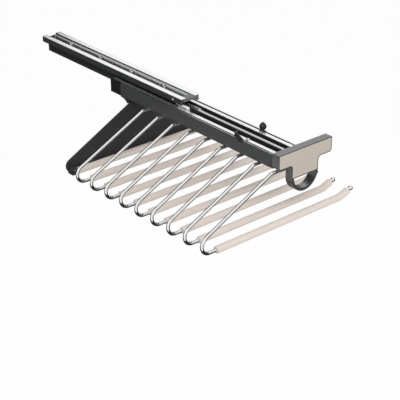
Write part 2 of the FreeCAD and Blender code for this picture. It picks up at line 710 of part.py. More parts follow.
def panel_ribs():
    """Ribs on the panel's back, inside its outline."""
    y = PANEL_BACK
    height = BEAM_BOTTOM - BAR_Z
    ribs = []
    for i in (-2, -1, 0, 1):
        x = i * PANEL_RIB_PITCH
        rib = box(x, x + PANEL_RIB, y, y + PANEL_RIB_DEPTH, BEAM_BOTTOM - 2 * height, BEAM_BOTTOM)
        ribs.append(rib.rotate(V(x, y, BEAM_BOTTOM), V(0, 1, 0), PANEL_TILT if i < 0 else 0))
    inside = Part.Face(panel_outline(PANEL_RIB_INSET, y)).extrude(V(0, PANEL_RIB_DEPTH, 0))
    return inside.common(Part.makeCompound(ribs))


def rear_panel():
    """Plate behind the last arm, with ribs, a socket for its bar and a flange above."""
    face = PANEL_Y + PANEL_STANDOFF
    low = BAR_Z - PANEL_BELOW_BAR
    body = Part.Face(panel_outline(0, face)).extrude(V(0, PANEL_THICK, 0)).fuse(panel_ribs())
    end = hairpin_x() + SLEEVE_START
    boss = rod(BOSS_R, V(end, PANEL_Y, BAR_Z), V(-1, 0, 0), BAR_ROOT)
    boss = boss.fuse(box(end - BAR_ROOT, end, PANEL_Y, face + PANEL_THICK / 2, low,
                         BAR_Z + BOSS_R))
    half = BEAM_WIDTH / 2 - FLANGE_INSET
    flange = box(-half, half, PANEL_Y - FLANGE_LEAD, PANEL_BACK, BEAM_BOTTOM - FLANGE_THICK,
                 BEAM_BOTTOM)
    body = body.fuse(boss).fuse(flange).fuse(panel_foot(PANEL_BACK))
    for x, y in panel_screw_places():
        body = body.cut(rod(SCREW_R, V(x, y, BEAM_BOTTOM - FLANGE_THICK), V(0, 0, 1),
                            FLANGE_THICK))
    return body.cut(panel_bar()).removeSplitter()


def panel_foot(y):
    """Gusset that runs out from the panel's back along the underside of the beam."""
    half = BEAM_WIDTH / 2
    path = [V(-half, y, BEAM_BOTTOM), V(-half, y, BEAM_BOTTOM - FOOT_DROP)]
    end = V(-half, BEAM_FRONT + BEAM_LENGTH, BEAM_BOTTOM - FOOT_EDGE)
    bend = V(-half, (y + end.y) / 2, BEAM_BOTTOM - FOOT_EDGE - FOOT_DROP / 6)
    arc = Part.Arc(path[1], bend, end).toShape()
    sides = [Part.makeLine(path[0], path[1]), arc,
             Part.makeLine(end, V(-half, end.y, BEAM_BOTTOM)),
             Part.makeLine(V(-half, end.y, BEAM_BOTTOM), path[0])]
    return Part.Face(Part.Wire(sides)).extrude(V(BEAM_WIDTH, 0, 0))


def panel_bar_path():
    """Centre line of the bar that the panel carries."""
    bend = V(BAR_REACH, PANEL_Y, BAR_Z)
    tilt = math.radians(TIP_TILT)
    tip = bend + V(math.cos(tilt), 0, math.sin(tilt)) * TIP_LENGTH
    root = V(hairpin_x() + SLEEVE_START - BAR_ROOT, PANEL_Y, BAR_Z)
    return rounded_path([root, bend, tip], [TIP_BEND_R])


def panel_bar():
    return tube_along(panel_bar_path(), WIRE_R)


# ---- posts ------------------------------------------------------------------------------------------------
def glide_post():
    """Round headed plastic post that clips over the beam's right wall."""
    x = BEAM_WIDTH / 2 + POST_OUTSET
    y = BEAM_FRONT + POST_SETBACK
    base = BEAM_TOP
    outline = [V(x, y, base), V(x + POST_R, y, base), V(x + POST_R, y, base + POST_SKIRT),
               V(x + POST_TOP_R, y, base + POST_HEIGHT), V(x, y, base + POST_HEIGHT)]
    post = Part.Face(Part.makePolygon(outline + outline[:1]))
    post = post.revolve(V(x, y, base), V(0, 0, 1), 360)
    crown = [e for e in post.Edges if abs(e.CenterOfMass.z - base - POST_HEIGHT) < 1e-3 and e.Closed]
    post = post.makeFillet(POST_TOP_R * 0.6, crown)
    outer = BEAM_WIDTH / 2
    cheek = box(outer, outer + CLIP_THICK, y - CLIP_WIDTH / 2, y + CLIP_WIDTH / 2,
                base - CLIP_DROP, base)
    return post.fuse(cheek)


def bumper():
    """Low stop on the left ridge."""
    x = -(RUNNER_WIDTH - LIP_WIDTH) / 2
    y = BEAM_FRONT + BUMPER_SETBACK
    body = box(x - BUMPER_WIDTH / 2, x + BUMPER_WIDTH / 2, y - BUMPER_LENGTH / 2,
               y + BUMPER_LENGTH / 2, RUNNER_TOP, RUNNER_TOP + BUMPER_HEIGHT)
    return round_edges(body, BUMPER_ROUND, lambda p: p.z > RUNNER_TOP + BUMPER_HEIGHT - 1e-3)


# ---- assembly ----------------------------------------------------------------------------------------------
def all_parts():
    parts = {
        "mounting_rail": mounting_rail(),
        "guide_channel": guide_channel(),
        "guide_nose": guide_nose(),
        "rail_rivets": Part.makeCompound(rail_rivet_list()),
        "beam": beam(),
        "runner_profile": runner_profile(),
        "stop_block": stop_block(),
        "end_cap": end_cap(),
        "ball_cage_left": ball_cage(-1),
        "ball_cage_right": ball_cage(1),
        "balls_left": balls(-1),
        "balls_right": balls(1),
        "front_frame": front_frame(),
        "frame_screws": Part.makeCompound(frame_screw_list()),
        "inlay": inlay(),
        "clamp_strip": clamp_strip(),
        "strip_screws": screws_up(strip_screw_places(), ROOT_Z - STRIP_THICK),
        "rear_panel": rear_panel(),
        "panel_screws": screws_up(panel_screw_places(), BEAM_BOTTOM - FLANGE_THICK),
        "glide_post": glide_post(),
        "bumper": bumper(),
    }
    bars = [(f"arm_{i}", y, arm_wire(y)) for i, y in enumerate(ARM_YS, 1)]
    bars.append(("panel_bar", PANEL_Y, panel_bar()))
    for number, (name, y, wire) in enumerate(bars, 1):
        parts[name] = wire
        parts[f"sleeve_{number}"] = sleeve(y, wire)
        parts[f"tip_{number}"] = tip_ball(y, wire)
    return parts


os.makedirs("parts", exist_ok=True)
for name, shape in all_parts().items():
    print(name, shape.isValid(), len(shape.Solids), round(shape.Volume, 1))
    shape.exportStep(f"parts/{name}.step")
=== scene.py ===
import json
import logging
import math
from collections.abc import Callable
from dataclasses import dataclass, field
from enum import Enum
from functools import partial

import bpy
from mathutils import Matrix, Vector

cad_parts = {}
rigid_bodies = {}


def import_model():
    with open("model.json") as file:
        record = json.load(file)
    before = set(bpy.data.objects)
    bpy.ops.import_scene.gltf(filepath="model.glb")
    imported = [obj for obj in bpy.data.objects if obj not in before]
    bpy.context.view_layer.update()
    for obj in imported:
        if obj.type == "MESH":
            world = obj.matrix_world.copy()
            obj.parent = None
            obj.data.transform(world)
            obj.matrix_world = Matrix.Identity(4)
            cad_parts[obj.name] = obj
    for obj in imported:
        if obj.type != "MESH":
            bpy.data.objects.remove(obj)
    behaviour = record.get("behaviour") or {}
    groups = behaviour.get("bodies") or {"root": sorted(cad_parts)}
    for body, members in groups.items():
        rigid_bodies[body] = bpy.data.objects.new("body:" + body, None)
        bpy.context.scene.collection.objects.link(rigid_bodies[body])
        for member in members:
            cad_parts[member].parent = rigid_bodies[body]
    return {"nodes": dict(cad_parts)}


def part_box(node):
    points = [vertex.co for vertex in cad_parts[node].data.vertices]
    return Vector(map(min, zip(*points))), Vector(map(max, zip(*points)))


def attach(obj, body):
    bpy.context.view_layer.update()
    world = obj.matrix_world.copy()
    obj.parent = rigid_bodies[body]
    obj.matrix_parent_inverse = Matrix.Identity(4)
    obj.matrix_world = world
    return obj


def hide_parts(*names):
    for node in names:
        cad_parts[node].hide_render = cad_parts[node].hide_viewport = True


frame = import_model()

log = logging.getLogger("trouser_rack")
MM = 0.001
MERGE = 1e-6                    # points nearer than this are one point
NEAR = 1e-5                     # what is nearer to a plane than this lies in it
RING = 0.02 * MM                # least distance between two rings of a turned piece

Colour = tuple[float, float, float, float]
Node = bpy.types.Node
Material = bpy.types.Material
Owner = Material | bpy.types.World
Piece = bpy.types.Object
Inputs = dict[str | int, object]
Adder = Callable[..., Node]     # add_node for one material


class Slot(Enum):
    """Slot names of the finishes; the arms' pieces are listed with them, but no piece is filed
    under one.
    """

    ZINC = "zinc_steel"
    BLACK = "black_plastic"
    CHROME = "arm_chrome"
    SLEEVE = "sleeve_beige"


class Side(Enum):
    """Sides of the guide, each with a ball cage."""

    LEFT = "left"
    RIGHT = "right"


class Pattern(Enum):
    """Textures that a plated finish's gloss can follow."""

    CLOUDS = "TexNoise"
    SPANGLES = "TexVoronoi"


class Pick(Enum):
    """Kinds of mesh element that an edit can act on."""

    POINT = "VERT"
    EDGE = "EDGE"
    FACE = "FACE"


# ---- materials' helpers ----------------------------------------------------------------
def srgb(code: str) -> Colour:
    """Turn an sRGB hex value into the linear colour that a shader takes.

    Args:
        code: Six hex digits, with or without a leading hash sign.

    Returns:
        Red, green, blue and an alpha of 1, all linear.
    """
    digits = code.lstrip("#")
    values = [int(digits[i:i + 2], 16) / 255 for i in (0, 2, 4)]
    linear = [v / 12.92 if v <= 0.04045 else ((v + 0.055) / 1.055) ** 2.4 for v in values]
    return (linear[0], linear[1], linear[2], 1.0)


def add_node(owner: Owner, kind: str, inputs: Inputs | None = None, **settings: object) -> Node:
    """Add one node to a node tree, with its settings, socket values and incoming links.

    Args:
        owner: Material or world that owns the tree.
        kind: Type of shader node, such as TexNoise.
        inputs: By a socket's name or number: its value, the output that feeds it, or the node
            whose first output feeds it.
        settings: Properties of the node itself.

    Returns:
        The new node.
    """
    tree = owner.node_tree
    node = tree.nodes.new(f"ShaderNode{kind}")
    for name, value in settings.items():
        setattr(node, name, value)
    for name, value in (inputs or {}).items():
        if isinstance(value, Node):
            value = value.outputs[0]
        if isinstance(value, bpy.types.NodeSocket):
            tree.links.new(value, node.inputs[name])
        else:
            node.inputs[name].default_value = value
    return node


def blank_material(name: str) -> Material:
    """Make an empty node material.

    Args:
        name: Its name.

    Returns:
        The material.
    """
    material = bpy.data.materials.new(name)
    material.use_nodes = True
    material.node_tree.nodes.clear()
    return material


def place_mm(add: Adder, *sizes: float) -> Node:
    """Object coordinates in millimetres, divided by one size or by one for each axis.

    Args:
        add: Adds a node to the material.
        sizes: One size, or one for each axis.

    Returns:
        The node that gives them.
    """
    scale = tuple(1 / MM / size for size in (sizes if len(sizes) == 3 else sizes * 3))
    coordinates = add("TexCoord")
    return add("Mapping", {"Vector": coordinates.outputs["Object"], "Scale": scale})


# ---- modelling helpers -----------------------------------------------------------------
def deselect() -> None:
    """Clear the selection and leave no active object behind."""
    for obj in bpy.context.view_layer.objects.selected:
        obj.select_set(False)
    bpy.context.view_layer.objects.active = None


def choose(piece: Piece) -> None:
    """Make one object the only selected and the active one.

    Args:
        piece: The object.
    """
    deselect()
    piece.select_set(True)
    bpy.context.view_layer.objects.active = piece


def take(name: str, size: tuple[float, float, float] = (1, 1, 1)) -> Piece:
    """Name the primitive that was just added and bring it to its size.

    Args:
        name: Name of the piece.
        size: Its scale along each axis.

    Returns:
        The piece, with its place and size in its mesh.
    """
    piece = bpy.context.active_object
    piece.name = piece.data.name = name
    piece.scale = size
    bpy.ops.object.transform_apply(location=True, rotation=True, scale=True)
    return piece


def open_up(piece: Piece) -> None:
    """Go into a piece's mesh with all of it selected.

    Args:
        piece: The piece.
    """
    choose(piece)
    bpy.ops.object.mode_set(mode="EDIT")
    bpy.ops.mesh.select_all(action="SELECT")


def pick(piece: Piece, kind: Pick,
         wanted: Callable[[bpy.types.bpy_struct], bool]) -> None:
    """Go into a piece's mesh with only the wanted elements selected.

    Args:
        piece: Active object, in either mode.
        kind: Kind of element to choose from.
        wanted: Test of one element.
    """
    bpy.ops.object.mode_set(mode="EDIT")
    bpy.ops.mesh.select_mode(type=kind.value)
    bpy.ops.mesh.select_all(action="DESELECT")
    bpy.ops.object.mode_set(mode="OBJECT")
    mesh = piece.data
    for element in {Pick.POINT: mesh.vertices, Pick.EDGE: mesh.edges,
                    Pick.FACE: mesh.polygons}[kind]:
        element.select = wanted(element)
    bpy.ops.object.mode_set(mode="EDIT")


def extrude(x: float = 0.0, y: float = 0.0, z: float = 0.0) -> None:
    """Extrude what is selected by a step along the axes."""
    bpy.ops.mesh.extrude_region_move(TRANSFORM_OT_translate={"value": (x, y, z)})


def shift(y: float = 0.0, z: float = 0.0) -> None:
    """Move what is selected."""
    bpy.ops.transform.translate(value=(0, y, z))


def leave() -> None:
    """Leave edit mode."""
    bpy.ops.object.mode_set(mode="OBJECT")


def close_up() -> None:
    """Merge doubled points, turn all faces outwards and leave edit mode."""
    bpy.ops.mesh.select_all(action="SELECT")
    bpy.ops.mesh.remove_doubles(threshold=MERGE)
    bpy.ops.mesh.normals_make_consistent(inside=False)
    leave()


def soften(piece: Piece, width: float) -> None:
    """Round a piece's edges.

    Args:
        piece: Active object.
        width: Width of the rounding.
    """
    soft = piece.modifiers.new("soft", "BEVEL")
    soft.width = width
    soft.segments = 3
    soft.limit_method = "ANGLE"
    bpy.ops.object.modifier_apply(modifier=soft.name)


def spread(model: Piece, places: dict[str, Vector]) -> list[Piece]:
    """Set out a piece that repeats, each copy with its own mesh.

    Args:
        model: Modelled piece, which becomes the first one.
        places: Name and place of each piece.

    Returns:
        The pieces, in the order of the places.
    """
    pieces = [model]
    for _ in range(len(places) - 1):
        piece = model.copy()
        piece.data = model.data.copy()
        bpy.context.scene.collection.objects.link(piece)
        pieces.append(piece)
    for piece, (name, place) in zip(pieces, places.items()):
        piece.name = piece.data.name = name
        piece.location = place
    return pieces


def mount(piece: Piece, material: Material, body: str,
          replaced: str | None = None, angle: float = 35.0) -> None:
    """Finish a piece: place in its mesh, smooth shading, material, body, and the node that it
    replaces.

    Args:
        piece: Modelled piece.
        material: Its material.
        body: Body that it rides on.
        replaced: Node that it stands for, if there is one.
        angle: Faces that meet at less than this many degrees are shaded smooth.
    """
    choose(piece)
    bpy.ops.object.transform_apply(location=True, rotation=True, scale=True)
    bpy.ops.object.shade_smooth_by_angle(angle=math.radians(angle))
    piece.data.materials.clear()
    piece.data.materials.append(material)
    deselect()
    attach(piece, body)
    if replaced:
        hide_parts(replaced)
    log.info("%s rides on the %s", piece.name, body)


def dress(material: Material, *nodes: str) -> None:
    """Give carried over nodes their material.

    Args:
        material: The material.
        nodes: Names of the nodes.
    """
    for node in nodes:
        obj = frame["nodes"][node]
        if not obj.material_slots:
            obj.data.materials.append(material)
        for material_slot in obj.material_slots:
            material_slot.material = material


# ---- finishes ----------------------------------------------------------------------
@dataclass(frozen=True)
class Finish:
    """Base of the finishes: each one says what its surface shader takes."""

    name: str

    def surface(self, add: Adder) -> Inputs:
        """Values and textures of the surface shader."""
        raise NotImplementedError

    def make(self) -> Material:
        """Build the material.

        Returns:
            The material.
        """
        material = blank_material(self.name)
        add = partial(add_node, material)
        add("OutputMaterial", {"Surface": add("BsdfPrincipled", self.surface(add))})
        return material


@dataclass(frozen=True)
class PowderCoat(Finish):
    """Polyester powder coating on aluminium, fine grit: dark grey, with bare metal painted along
    its upper edges as their highlight.
    """

    name: str = "powder_coat_graphite"
    colour: str = "#3d3e3f"
    cloud: str = "#464748"
    # painted highlight: bare metal colour for the bright line along the upper edges
    bare: str = "#e6e7e8"
    grit_mm: float = 0.9        # real grit is 0.1 mm, drawn coarser so that it shows
    roughness: float = 0.42
    highlight_edge_roughness: float = 0.22
    skin_mm: tuple[float, float] = (0.25, 0.1)  # below the edges, where the painted highlight begins and is whole
    highlight_edge_z: float = 10.0        # height of the highlighted edges; out of reach unless it is set
    edge_x: float = 0.0         # the left edge is bare, as painted highlight, outside this

    def surface(self, add: Adder) -> Inputs:
        """Grit and clouds, and the painted highlight of bare metal on the edges, picked out by
        their height.

        Args:
            add: Adds a node to the material.

        Returns:
            Inputs of the surface shader.
        """
        place = place_mm(add, self.grit_mm)
        grit = add("TexNoise", {"Vector": place, "Scale": 1.0, "Detail": 3.0})
        cloud = add("TexNoise", {"Vector": place, "Scale": 0.02, "Detail": 2.0})
        tone = add("Mix", {0: cloud, 6: srgb(self.colour), 7: srgb(self.cloud)},
                   data_type="RGBA")
        axis = add("SeparateXYZ", {"Vector": add("TexCoord").outputs["Object"]})
        edge = add("MapRange", {"Value": axis.outputs["Z"],
                                "From Min": self.highlight_edge_z - self.skin_mm[0] * MM,
                                "From Max": self.highlight_edge_z - self.skin_mm[1] * MM})
        inner = add("Math", {0: axis.outputs["X"], 1: self.edge_x / 2, 2: -self.edge_x / 2},
                    operation="COMPARE")
        bare = add("Math", {0: inner, 1: -1.0, 2: edge}, operation="MULTIPLY_ADD")
        # painted highlight: where the upper edges are made bare metal for their bright line
        bright_mask = add("Math", {0: bare, 1: 0.0}, operation="MAXIMUM")
        colour = add("Mix", {0: bright_mask, 6: tone.outputs[2], 7: srgb(self.bare)},
                     data_type="RGBA")
        rough = add("MapRange", {"Value": bright_mask, "To Min": self.roughness,
                                 "To Max": self.highlight_edge_roughness})
        bump = add("Bump", {"Height": grit, "Strength": 0.12, "Distance": 0.2 * MM})
        return {"Base Color": colour.outputs[2], "Metallic": bright_mask, "Roughness": rough,
                "Normal": bump}


@dataclass(frozen=True)
class BrushedAluminium(Finish):
    """Natural anodised aluminium, brushed along the rail; trough mill grey, lips and screw hole
    walls painted dark as their shade.
    """

    name: str = "anodised_aluminium_brushed"
    colour: str = "#f6f6f6"
    mill: str = "#c2c3c4"
    painted_shade_colour: str = "#333435"       # painted shade on the lips and on the walls of the screw holes
    painted_shade_roughness: float = 0.3     # on top of the metal's
    streak_mm: float = 0.5      # real streaks are 0.05 mm, drawn coarser so that they show
    streak_length_mm: float = 60.0
    streak_roughness: float = 0.06  # on top of the face's and the trough's
    roughness: float = 0.06
    mill_roughness: float = 0.12
    face_z: float = 0.0         # height of the brushed face
    step_mm: float = 0.5        # below this the surface is mill grey
    hollow_mm: float = 10.6     # half of the trough's width
    lip_mm: tuple[float, float] = (0.3, 0.5)    # outside it, where the painted shade begins and is whole
    flat_mm: float = 1.4        # how much flatter the drawn floor is than its solid
    lean_mm: float = 1.9        # how far that floor leans to its right edge
    bore_mm: float = 2.35       # just outside the screw holes' walls
    bore_depth_mm: float = 3.7  # depth of those walls, down to the trough's floor

    def surface(self, add: Adder) -> Inputs:
        """Brushed face, hollow trough, and painted shade on its lips and in the screw holes.

        Args:
            add: Adds a node to the material.

        Returns:
            Inputs of the surface shader.
        """
        axis = add("SeparateXYZ", {"Vector": add("TexCoord").outputs["Object"]})
        face = add("MapRange", {"Value": axis.outputs["Z"],
                                "From Min": self.face_z - 2 * self.step_mm * MM,
                                "From Max": self.face_z - self.step_mm * MM})
        below = add("Math", {0: 1.0, 1: face}, operation="SUBTRACT")
        tone = add("Mix", {0: face, 6: srgb(self.mill), 7: srgb(self.colour)},
                   data_type="RGBA")
        place = place_mm(add, self.streak_mm, self.streak_length_mm, self.streak_mm)
        streak = add("TexNoise", {"Vector": place, "Scale": 1.0, "Detail": 4.0})
        gloss = add("MapRange", {"Value": face, "To Min": self.mill_roughness,
                                 "To Max": self.roughness})
        rough = add("Math", {0: streak, 1: self.streak_roughness, 2: gloss},
                    operation="MULTIPLY_ADD")
        fine = add("Bump", {"Height": streak, "Strength": 0.04, "Distance": 0.1 * MM})
        across = add("Math", {0: axis.outputs["X"], 1: 1 / (self.hollow_mm * MM)},
                     operation="MULTIPLY")
        slope = add("Math", {0: across, 1: -self.flat_mm, 2: -self.lean_mm},
                    operation="MULTIPLY_ADD")
        drawn = add("Math", {0: slope, 1: across}, operation="MULTIPLY")
        hollow = add("Math", {0: drawn, 1: below}, operation="MULTIPLY")
        bump = add("Bump", {"Height": hollow, "Strength": 1.0, "Distance": MM, "Normal": fine})
        off_middle = add("Math", {0: axis.outputs["X"]}, operation="ABSOLUTE")
        outside = add("MapRange", {"Value": off_middle,
                                   "From Min": (self.hollow_mm + self.lip_mm[0]) * MM,
                                   "From Max": (self.hollow_mm + self.lip_mm[1]) * MM})
        within = add("Math", {0: off_middle, 1: self.bore_mm * MM}, operation="LESS_THAN")
        above = add("Math", {0: axis.outputs["Z"], 1: self.face_z - self.bore_depth_mm * MM},
                    operation="GREATER_THAN")
        bore = add("Math", {0: within, 1: above}, operation="MULTIPLY")
        either = add("Math", {0: outside, 1: bore}, operation="MAXIMUM")
        # painted shade: the lips and the screw holes' walls get a dark, matt colour in place of
        # their shade
        painted_shade_mask = add("Math", {0: either, 1: below}, operation="MULTIPLY")
        colour = add("Mix", {0: painted_shade_mask, 6: tone.outputs[2], 7: srgb(self.painted_shade_colour)},
                     data_type="RGBA")
        metal = add("Math", {0: 1.0, 1: painted_shade_mask}, operation="SUBTRACT")
        matt = add("Math", {0: painted_shade_mask, 1: self.painted_shade_roughness, 2: rough},
                   operation="MULTIPLY_ADD")
        return {"Base Color": colour.outputs[2], "Metallic": metal, "Roughness": matt,
                "Normal": bump}


@dataclass(frozen=True)
class GroovedRunner(Finish):
    """Extruded runner: ridge tops milled bright; the grooves, their outer edges and the middle
    ridge's left side painted dark as shade.
    """

    name: str = "runner_bright_ridges"
    bright: str = "#fcfcfb"
    middle_ridge_grey: str = "#cfcfce"       # middle ridge, greyer than the outer ones
    # painted shade: the dark of the grooves, of the outer edges and of the middle ridge's left
    # side
    dark: str = "#333336"
    metallic: float = 0.86
    gloss: tuple[float, float] = (0.16, 0.3)
    streak_mm: float = 0.5      # real streaks are 0.05 mm, drawn coarser so that they show
    streak_length_mm: float = 60.0
    top_z: float = 0.0
    skin_mm: float = 0.3        # how far the bare metal comes down the ridges' sides
    edge_x: float = 1.0         # outer face of the outer ridges
    shaded_edge_mm: float = 0.25       # painted shade: a dark edge along that face
    rib_mm: float = 4.0         # half of the middle ridge's width
    shade_share: tuple[float, float] = (0.55, 0.4)  # of that, where the painted shade on its left side ends

    def surface(self, add: Adder) -> Inputs:
        """Ridge tops, picked out by their height, and painted shade between them.

        Args:
            add: Adds a node to the material.

        Returns:
            Inputs of the surface shader.
        """
        axis = add("SeparateXYZ", {"Vector": add("TexCoord").outputs["Object"]})
        top = add("MapRange", {"Value": axis.outputs["Z"],
                               "From Min": self.top_z - 2 * self.skin_mm * MM,
                               "From Max": self.top_z - self.skin_mm * MM},
                  interpolation_type="SMOOTHSTEP")
        place = place_mm(add, self.streak_mm, self.streak_length_mm, self.streak_mm)
        streak = add("TexNoise", {"Vector": place, "Scale": 1.0, "Detail": 4.0})
        rough = add("MapRange", {"Value": streak, "To Min": self.gloss[0],
                                 "To Max": self.gloss[1]})
        off_middle = add("Math", {0: axis.outputs["X"]}, operation="ABSOLUTE")
        outer = add("Math", {0: off_middle, 1: (self.rib_mm + 1) * MM},
                    operation="GREATER_THAN")
        right = add("MapRange", {"Value": axis.outputs["X"],
                                 "From Min": -self.shade_share[0] * self.rib_mm * MM,
                                 "From Max": -self.shade_share[1] * self.rib_mm * MM})
        bright_mask = add("Math", {0: outer, 1: right}, operation="MAXIMUM")
        within = add("Math", {0: off_middle, 1: self.edge_x - self.shaded_edge_mm * MM},
                     operation="LESS_THAN")
        inside = add("Math", {0: bright_mask, 1: within}, operation="MULTIPLY")
        bare = add("Math", {0: top, 1: inside}, operation="MULTIPLY")
        metal = add("Mix", {0: outer, 6: srgb(self.middle_ridge_grey), 7: srgb(self.bright)},
                    data_type="RGBA")
        # painted shade: everything but the bare ridge tops is given the dark colour
        tone = add("Mix", {0: bare, 6: srgb(self.dark), 7: metal.outputs[2]},
                   data_type="RGBA")
        sheen = add("Math", {0: bare, 1: self.metallic}, operation="MULTIPLY")
        return {"Base Color": tone.outputs[2], "Metallic": sheen, "Roughness": rough}


@dataclass(frozen=True)
class Plating(Finish):
    """Base of the plated steels: plain metal whose gloss follows a pattern."""

    colour: str
    metallic: float
    gloss: tuple[float, float]
    pattern: Pattern
    pattern_mm: float
    detail: float

    def surface(self, add: Adder) -> Inputs:
        """Even metal, its gloss set by the pattern.

        Args:
            add: Adds a node to the material.

        Returns:
            Inputs of the surface shader.
        """
        pattern = add(self.pattern.value, {"Vector": place_mm(add, self.pattern_mm),
                                           "Scale": 1.0, "Detail": self.detail})
        rough = add("MapRange", {"Value": pattern, "To Min": self.gloss[0],
                                 "To Max": self.gloss[1]})
        return {"Base Color": srgb(self.colour), "Metallic": self.metallic,
                "Roughness": rough}


@dataclass(frozen=True)
class BlackZinc(Plating):
    """Black passivated steel strip: dark, slightly blue, uneven low gloss."""

    name: str = "black_zinc_steel"
    colour: str = "#4a4b4e"
    metallic: float = 0.7
    gloss: tuple[float, float] = (0.28, 0.5)
    pattern: Pattern = Pattern.CLOUDS
    pattern_mm: float = 6.0
    detail: float = 4.0


@dataclass(frozen=True)
class BrightZinc(Plating):
    """Bright zinc plate on steel: silvery, faintly mottled, quite glossy."""

    name: str = "bright_zinc_plate"
    colour: str = "#dcdcda"
    metallic: float = 1.0       # less where a part is painted near white and matt, to stay bright in shade
    gloss: tuple[float, float] = (0.2, 0.38)
    pattern: Pattern = Pattern.SPANGLES
    pattern_mm: float = 1.6
    detail: float = 0.0


@dataclass(frozen=True)
class ChromePlate(Plating):
    """Nickel and chrome plate on drawn wire: mirror bright, faint long ripples."""

    name: str = "chrome_plate"
    colour: str = "#e9eaea"
    metallic: float = 1.0
    gloss: tuple[float, float] = (0.03, 0.08)
    pattern: Pattern = Pattern.CLOUDS
    pattern_mm: float = 9.0
    detail: float = 2.0


@dataclass(frozen=True)
class MouldedPlastic(Finish):
    """Injection moulded POM or ABS with a fine spark eroded grain: even and softly matt."""

    name: str = "moulded_plastic_black"
    colour: str = "#1c1c1d"
    roughness: float = 0.42
    metallic: float = 0.0       # above 0 where metal flake is moulded in
    grain_mm: float = 0.7       # real grain is 0.1 mm, drawn coarser so that it shows
    grain_depth: float = 0.08   # strength of the grain's bump

    def surface(self, add: Adder) -> Inputs:
        """Grain in the gloss and as a bump.

        Args:
            add: Adds a node to the material.

        Returns:
            Inputs of the surface shader.
        """
        grain = add("TexNoise", {"Vector": place_mm(add, self.grain_mm), "Scale": 1.0,
                                 "Detail": 2.0})
        rough = add("MapRange", {"Value": grain, "To Min": self.roughness - 0.05,
                                 "To Max": self.roughness + 0.07})
        bump = add("Bump", {"Height": grain, "Strength": self.grain_depth,
                            "Distance": 0.2 * MM})
        return {"Base Color": srgb(self.colour), "Metallic": self.metallic,
                "Roughness": rough, "Normal": bump}


@dataclass(frozen=True)
class ChampagneInlay(Finish):
    """Champagne anodised aluminium sheet, brushed across: warm, pale, silky."""

    name: str = "champagne_anodised_sheet"
    colour: str = "#e3dace"
    streak: str = "#d5c9bb"
    gloss: tuple[float, float] = (0.38, 0.52)
    streak_mm: float = 0.4      # real streaks are 0.05 mm, drawn coarser so that they show
    streak_length_mm: float = 40.0

    def surface(self, add: Adder) -> Inputs:
        """Streaks in the tone and in the gloss.

        Args:
            add: Adds a node to the material.

        Returns:
            Inputs of the surface shader.
        """
        place = place_mm(add, self.streak_length_mm, self.streak_mm, self.streak_mm)
        streak = add("TexNoise", {"Vector": place, "Scale": 1.0, "Detail": 4.0})
        tone = add("Mix", {0: streak, 6: srgb(self.colour), 7: srgb(self.streak)},
                   data_type="RGBA")
        rough = add("MapRange", {"Value": streak, "To Min": self.gloss[0],
                                 "To Max": self.gloss[1]})
        return {"Base Color": tone.outputs[2], "Metallic": 0.35, "Roughness": rough}


@dataclass(frozen=True)
class SoftSleeve(Finish):
    """Flocked soft PVC tube, beige: matt, faintly velvety, a little light comes through."""

    name: str = "soft_sleeve_beige"
    colour: str = "#ddd3cb"
    shade: str = "#d7cbc1"
    nap_mm: float = 0.8         # real nap is 0.2 mm, drawn coarser so that it shows

    def surface(self, add: Adder) -> Inputs:
        """Nap in the tone and as a bump, under a soft sheen.

        Args:
            add: Adds a node to the material.

        Returns:
            Inputs of the surface shader.
        """
        nap = add("TexNoise", {"Vector": place_mm(add, self.nap_mm), "Scale": 1.0,
                               "Detail": 4.0})
        tone = add("Mix", {0: nap, 6: srgb(self.shade), 7: srgb(self.colour)},
                   data_type="RGBA")
        bump = add("Bump", {"Height": nap, "Strength": 0.25, "Distance": 0.3 * MM})
        return {"Base Color": tone.outputs[2], "Roughness": 0.8, "Sheen Weight": 0.25,
                "Sheen Roughness": 0.5, "Subsurface Weight": 0.08,
                "Subsurface Scale": 2 * MM, "Normal": bump}


# ---- bending and turning ---------------------------------------------------------------
@dataclass
class WireBender:
    """Draws a round bar in the plane of X and Z, run by run and bend by bend."""

    radius: float
    segments: int = 24
    point: Vector = field(default_factory=Vector)
    heading: float = 0.0

    def start(self, name: str, point: Vector, heading: float) -> Piece:
        """Add the disc that the bar grows from.

        Args:
            name: Name of the new object.
            point: Middle of the disc.
            heading: Direction of growth, in radians from +X towards +Z.

        Returns:
            The new object, in edit mode with its disc selected.
        """
        deselect()
        self.point = point.copy()
        self.heading = heading
        bpy.ops.mesh.primitive_circle_add(vertices=self.segments, radius=self.radius,
                                          fill_type="NGON", location=point,
                                          rotation=(0, math.pi / 2 - heading, 0))
        bar = take(name)
        open_up(bar)
        return bar

    def direction(self) -> Vector:
        """Unit vector of growth."""
        return Vector((math.cos(self.heading), 0, math.sin(self.heading)))

    def run(self, length: float) -> None:
        """Extrude straight ahead.

        Args:
            length: Length of the run.
        """
        move = self.direction() * length
        extrude(*move)
        self.point += move

    def turn(self, angle: float, radius: float, steps: int) -> None:
        """Spin the end round a centre on the left of the heading.

        Args:
            angle: Turn in radians, from +X towards +Z.
            radius: Radius of the bend's centre line.
            steps: Number of rings in the bend.
        """
        side = Vector((-math.sin(self.heading), 0, math.cos(self.heading)))
        centre = self.point + side * radius
        bpy.ops.mesh.spin(steps=steps, angle=angle, center=tuple(centre), axis=(0, 1, 0))
        self.heading += angle
        outward = Vector((math.sin(self.heading), 0, -math.cos(self.heading)))
        self.point = centre + outward * radius

    def taper(self, length: float, scale: float) -> None:
        """Extrude straight ahead and scale the end."""
        self.run(length)
        bpy.ops.transform.resize(value=(scale,) * 3, center_override=tuple(self.point))


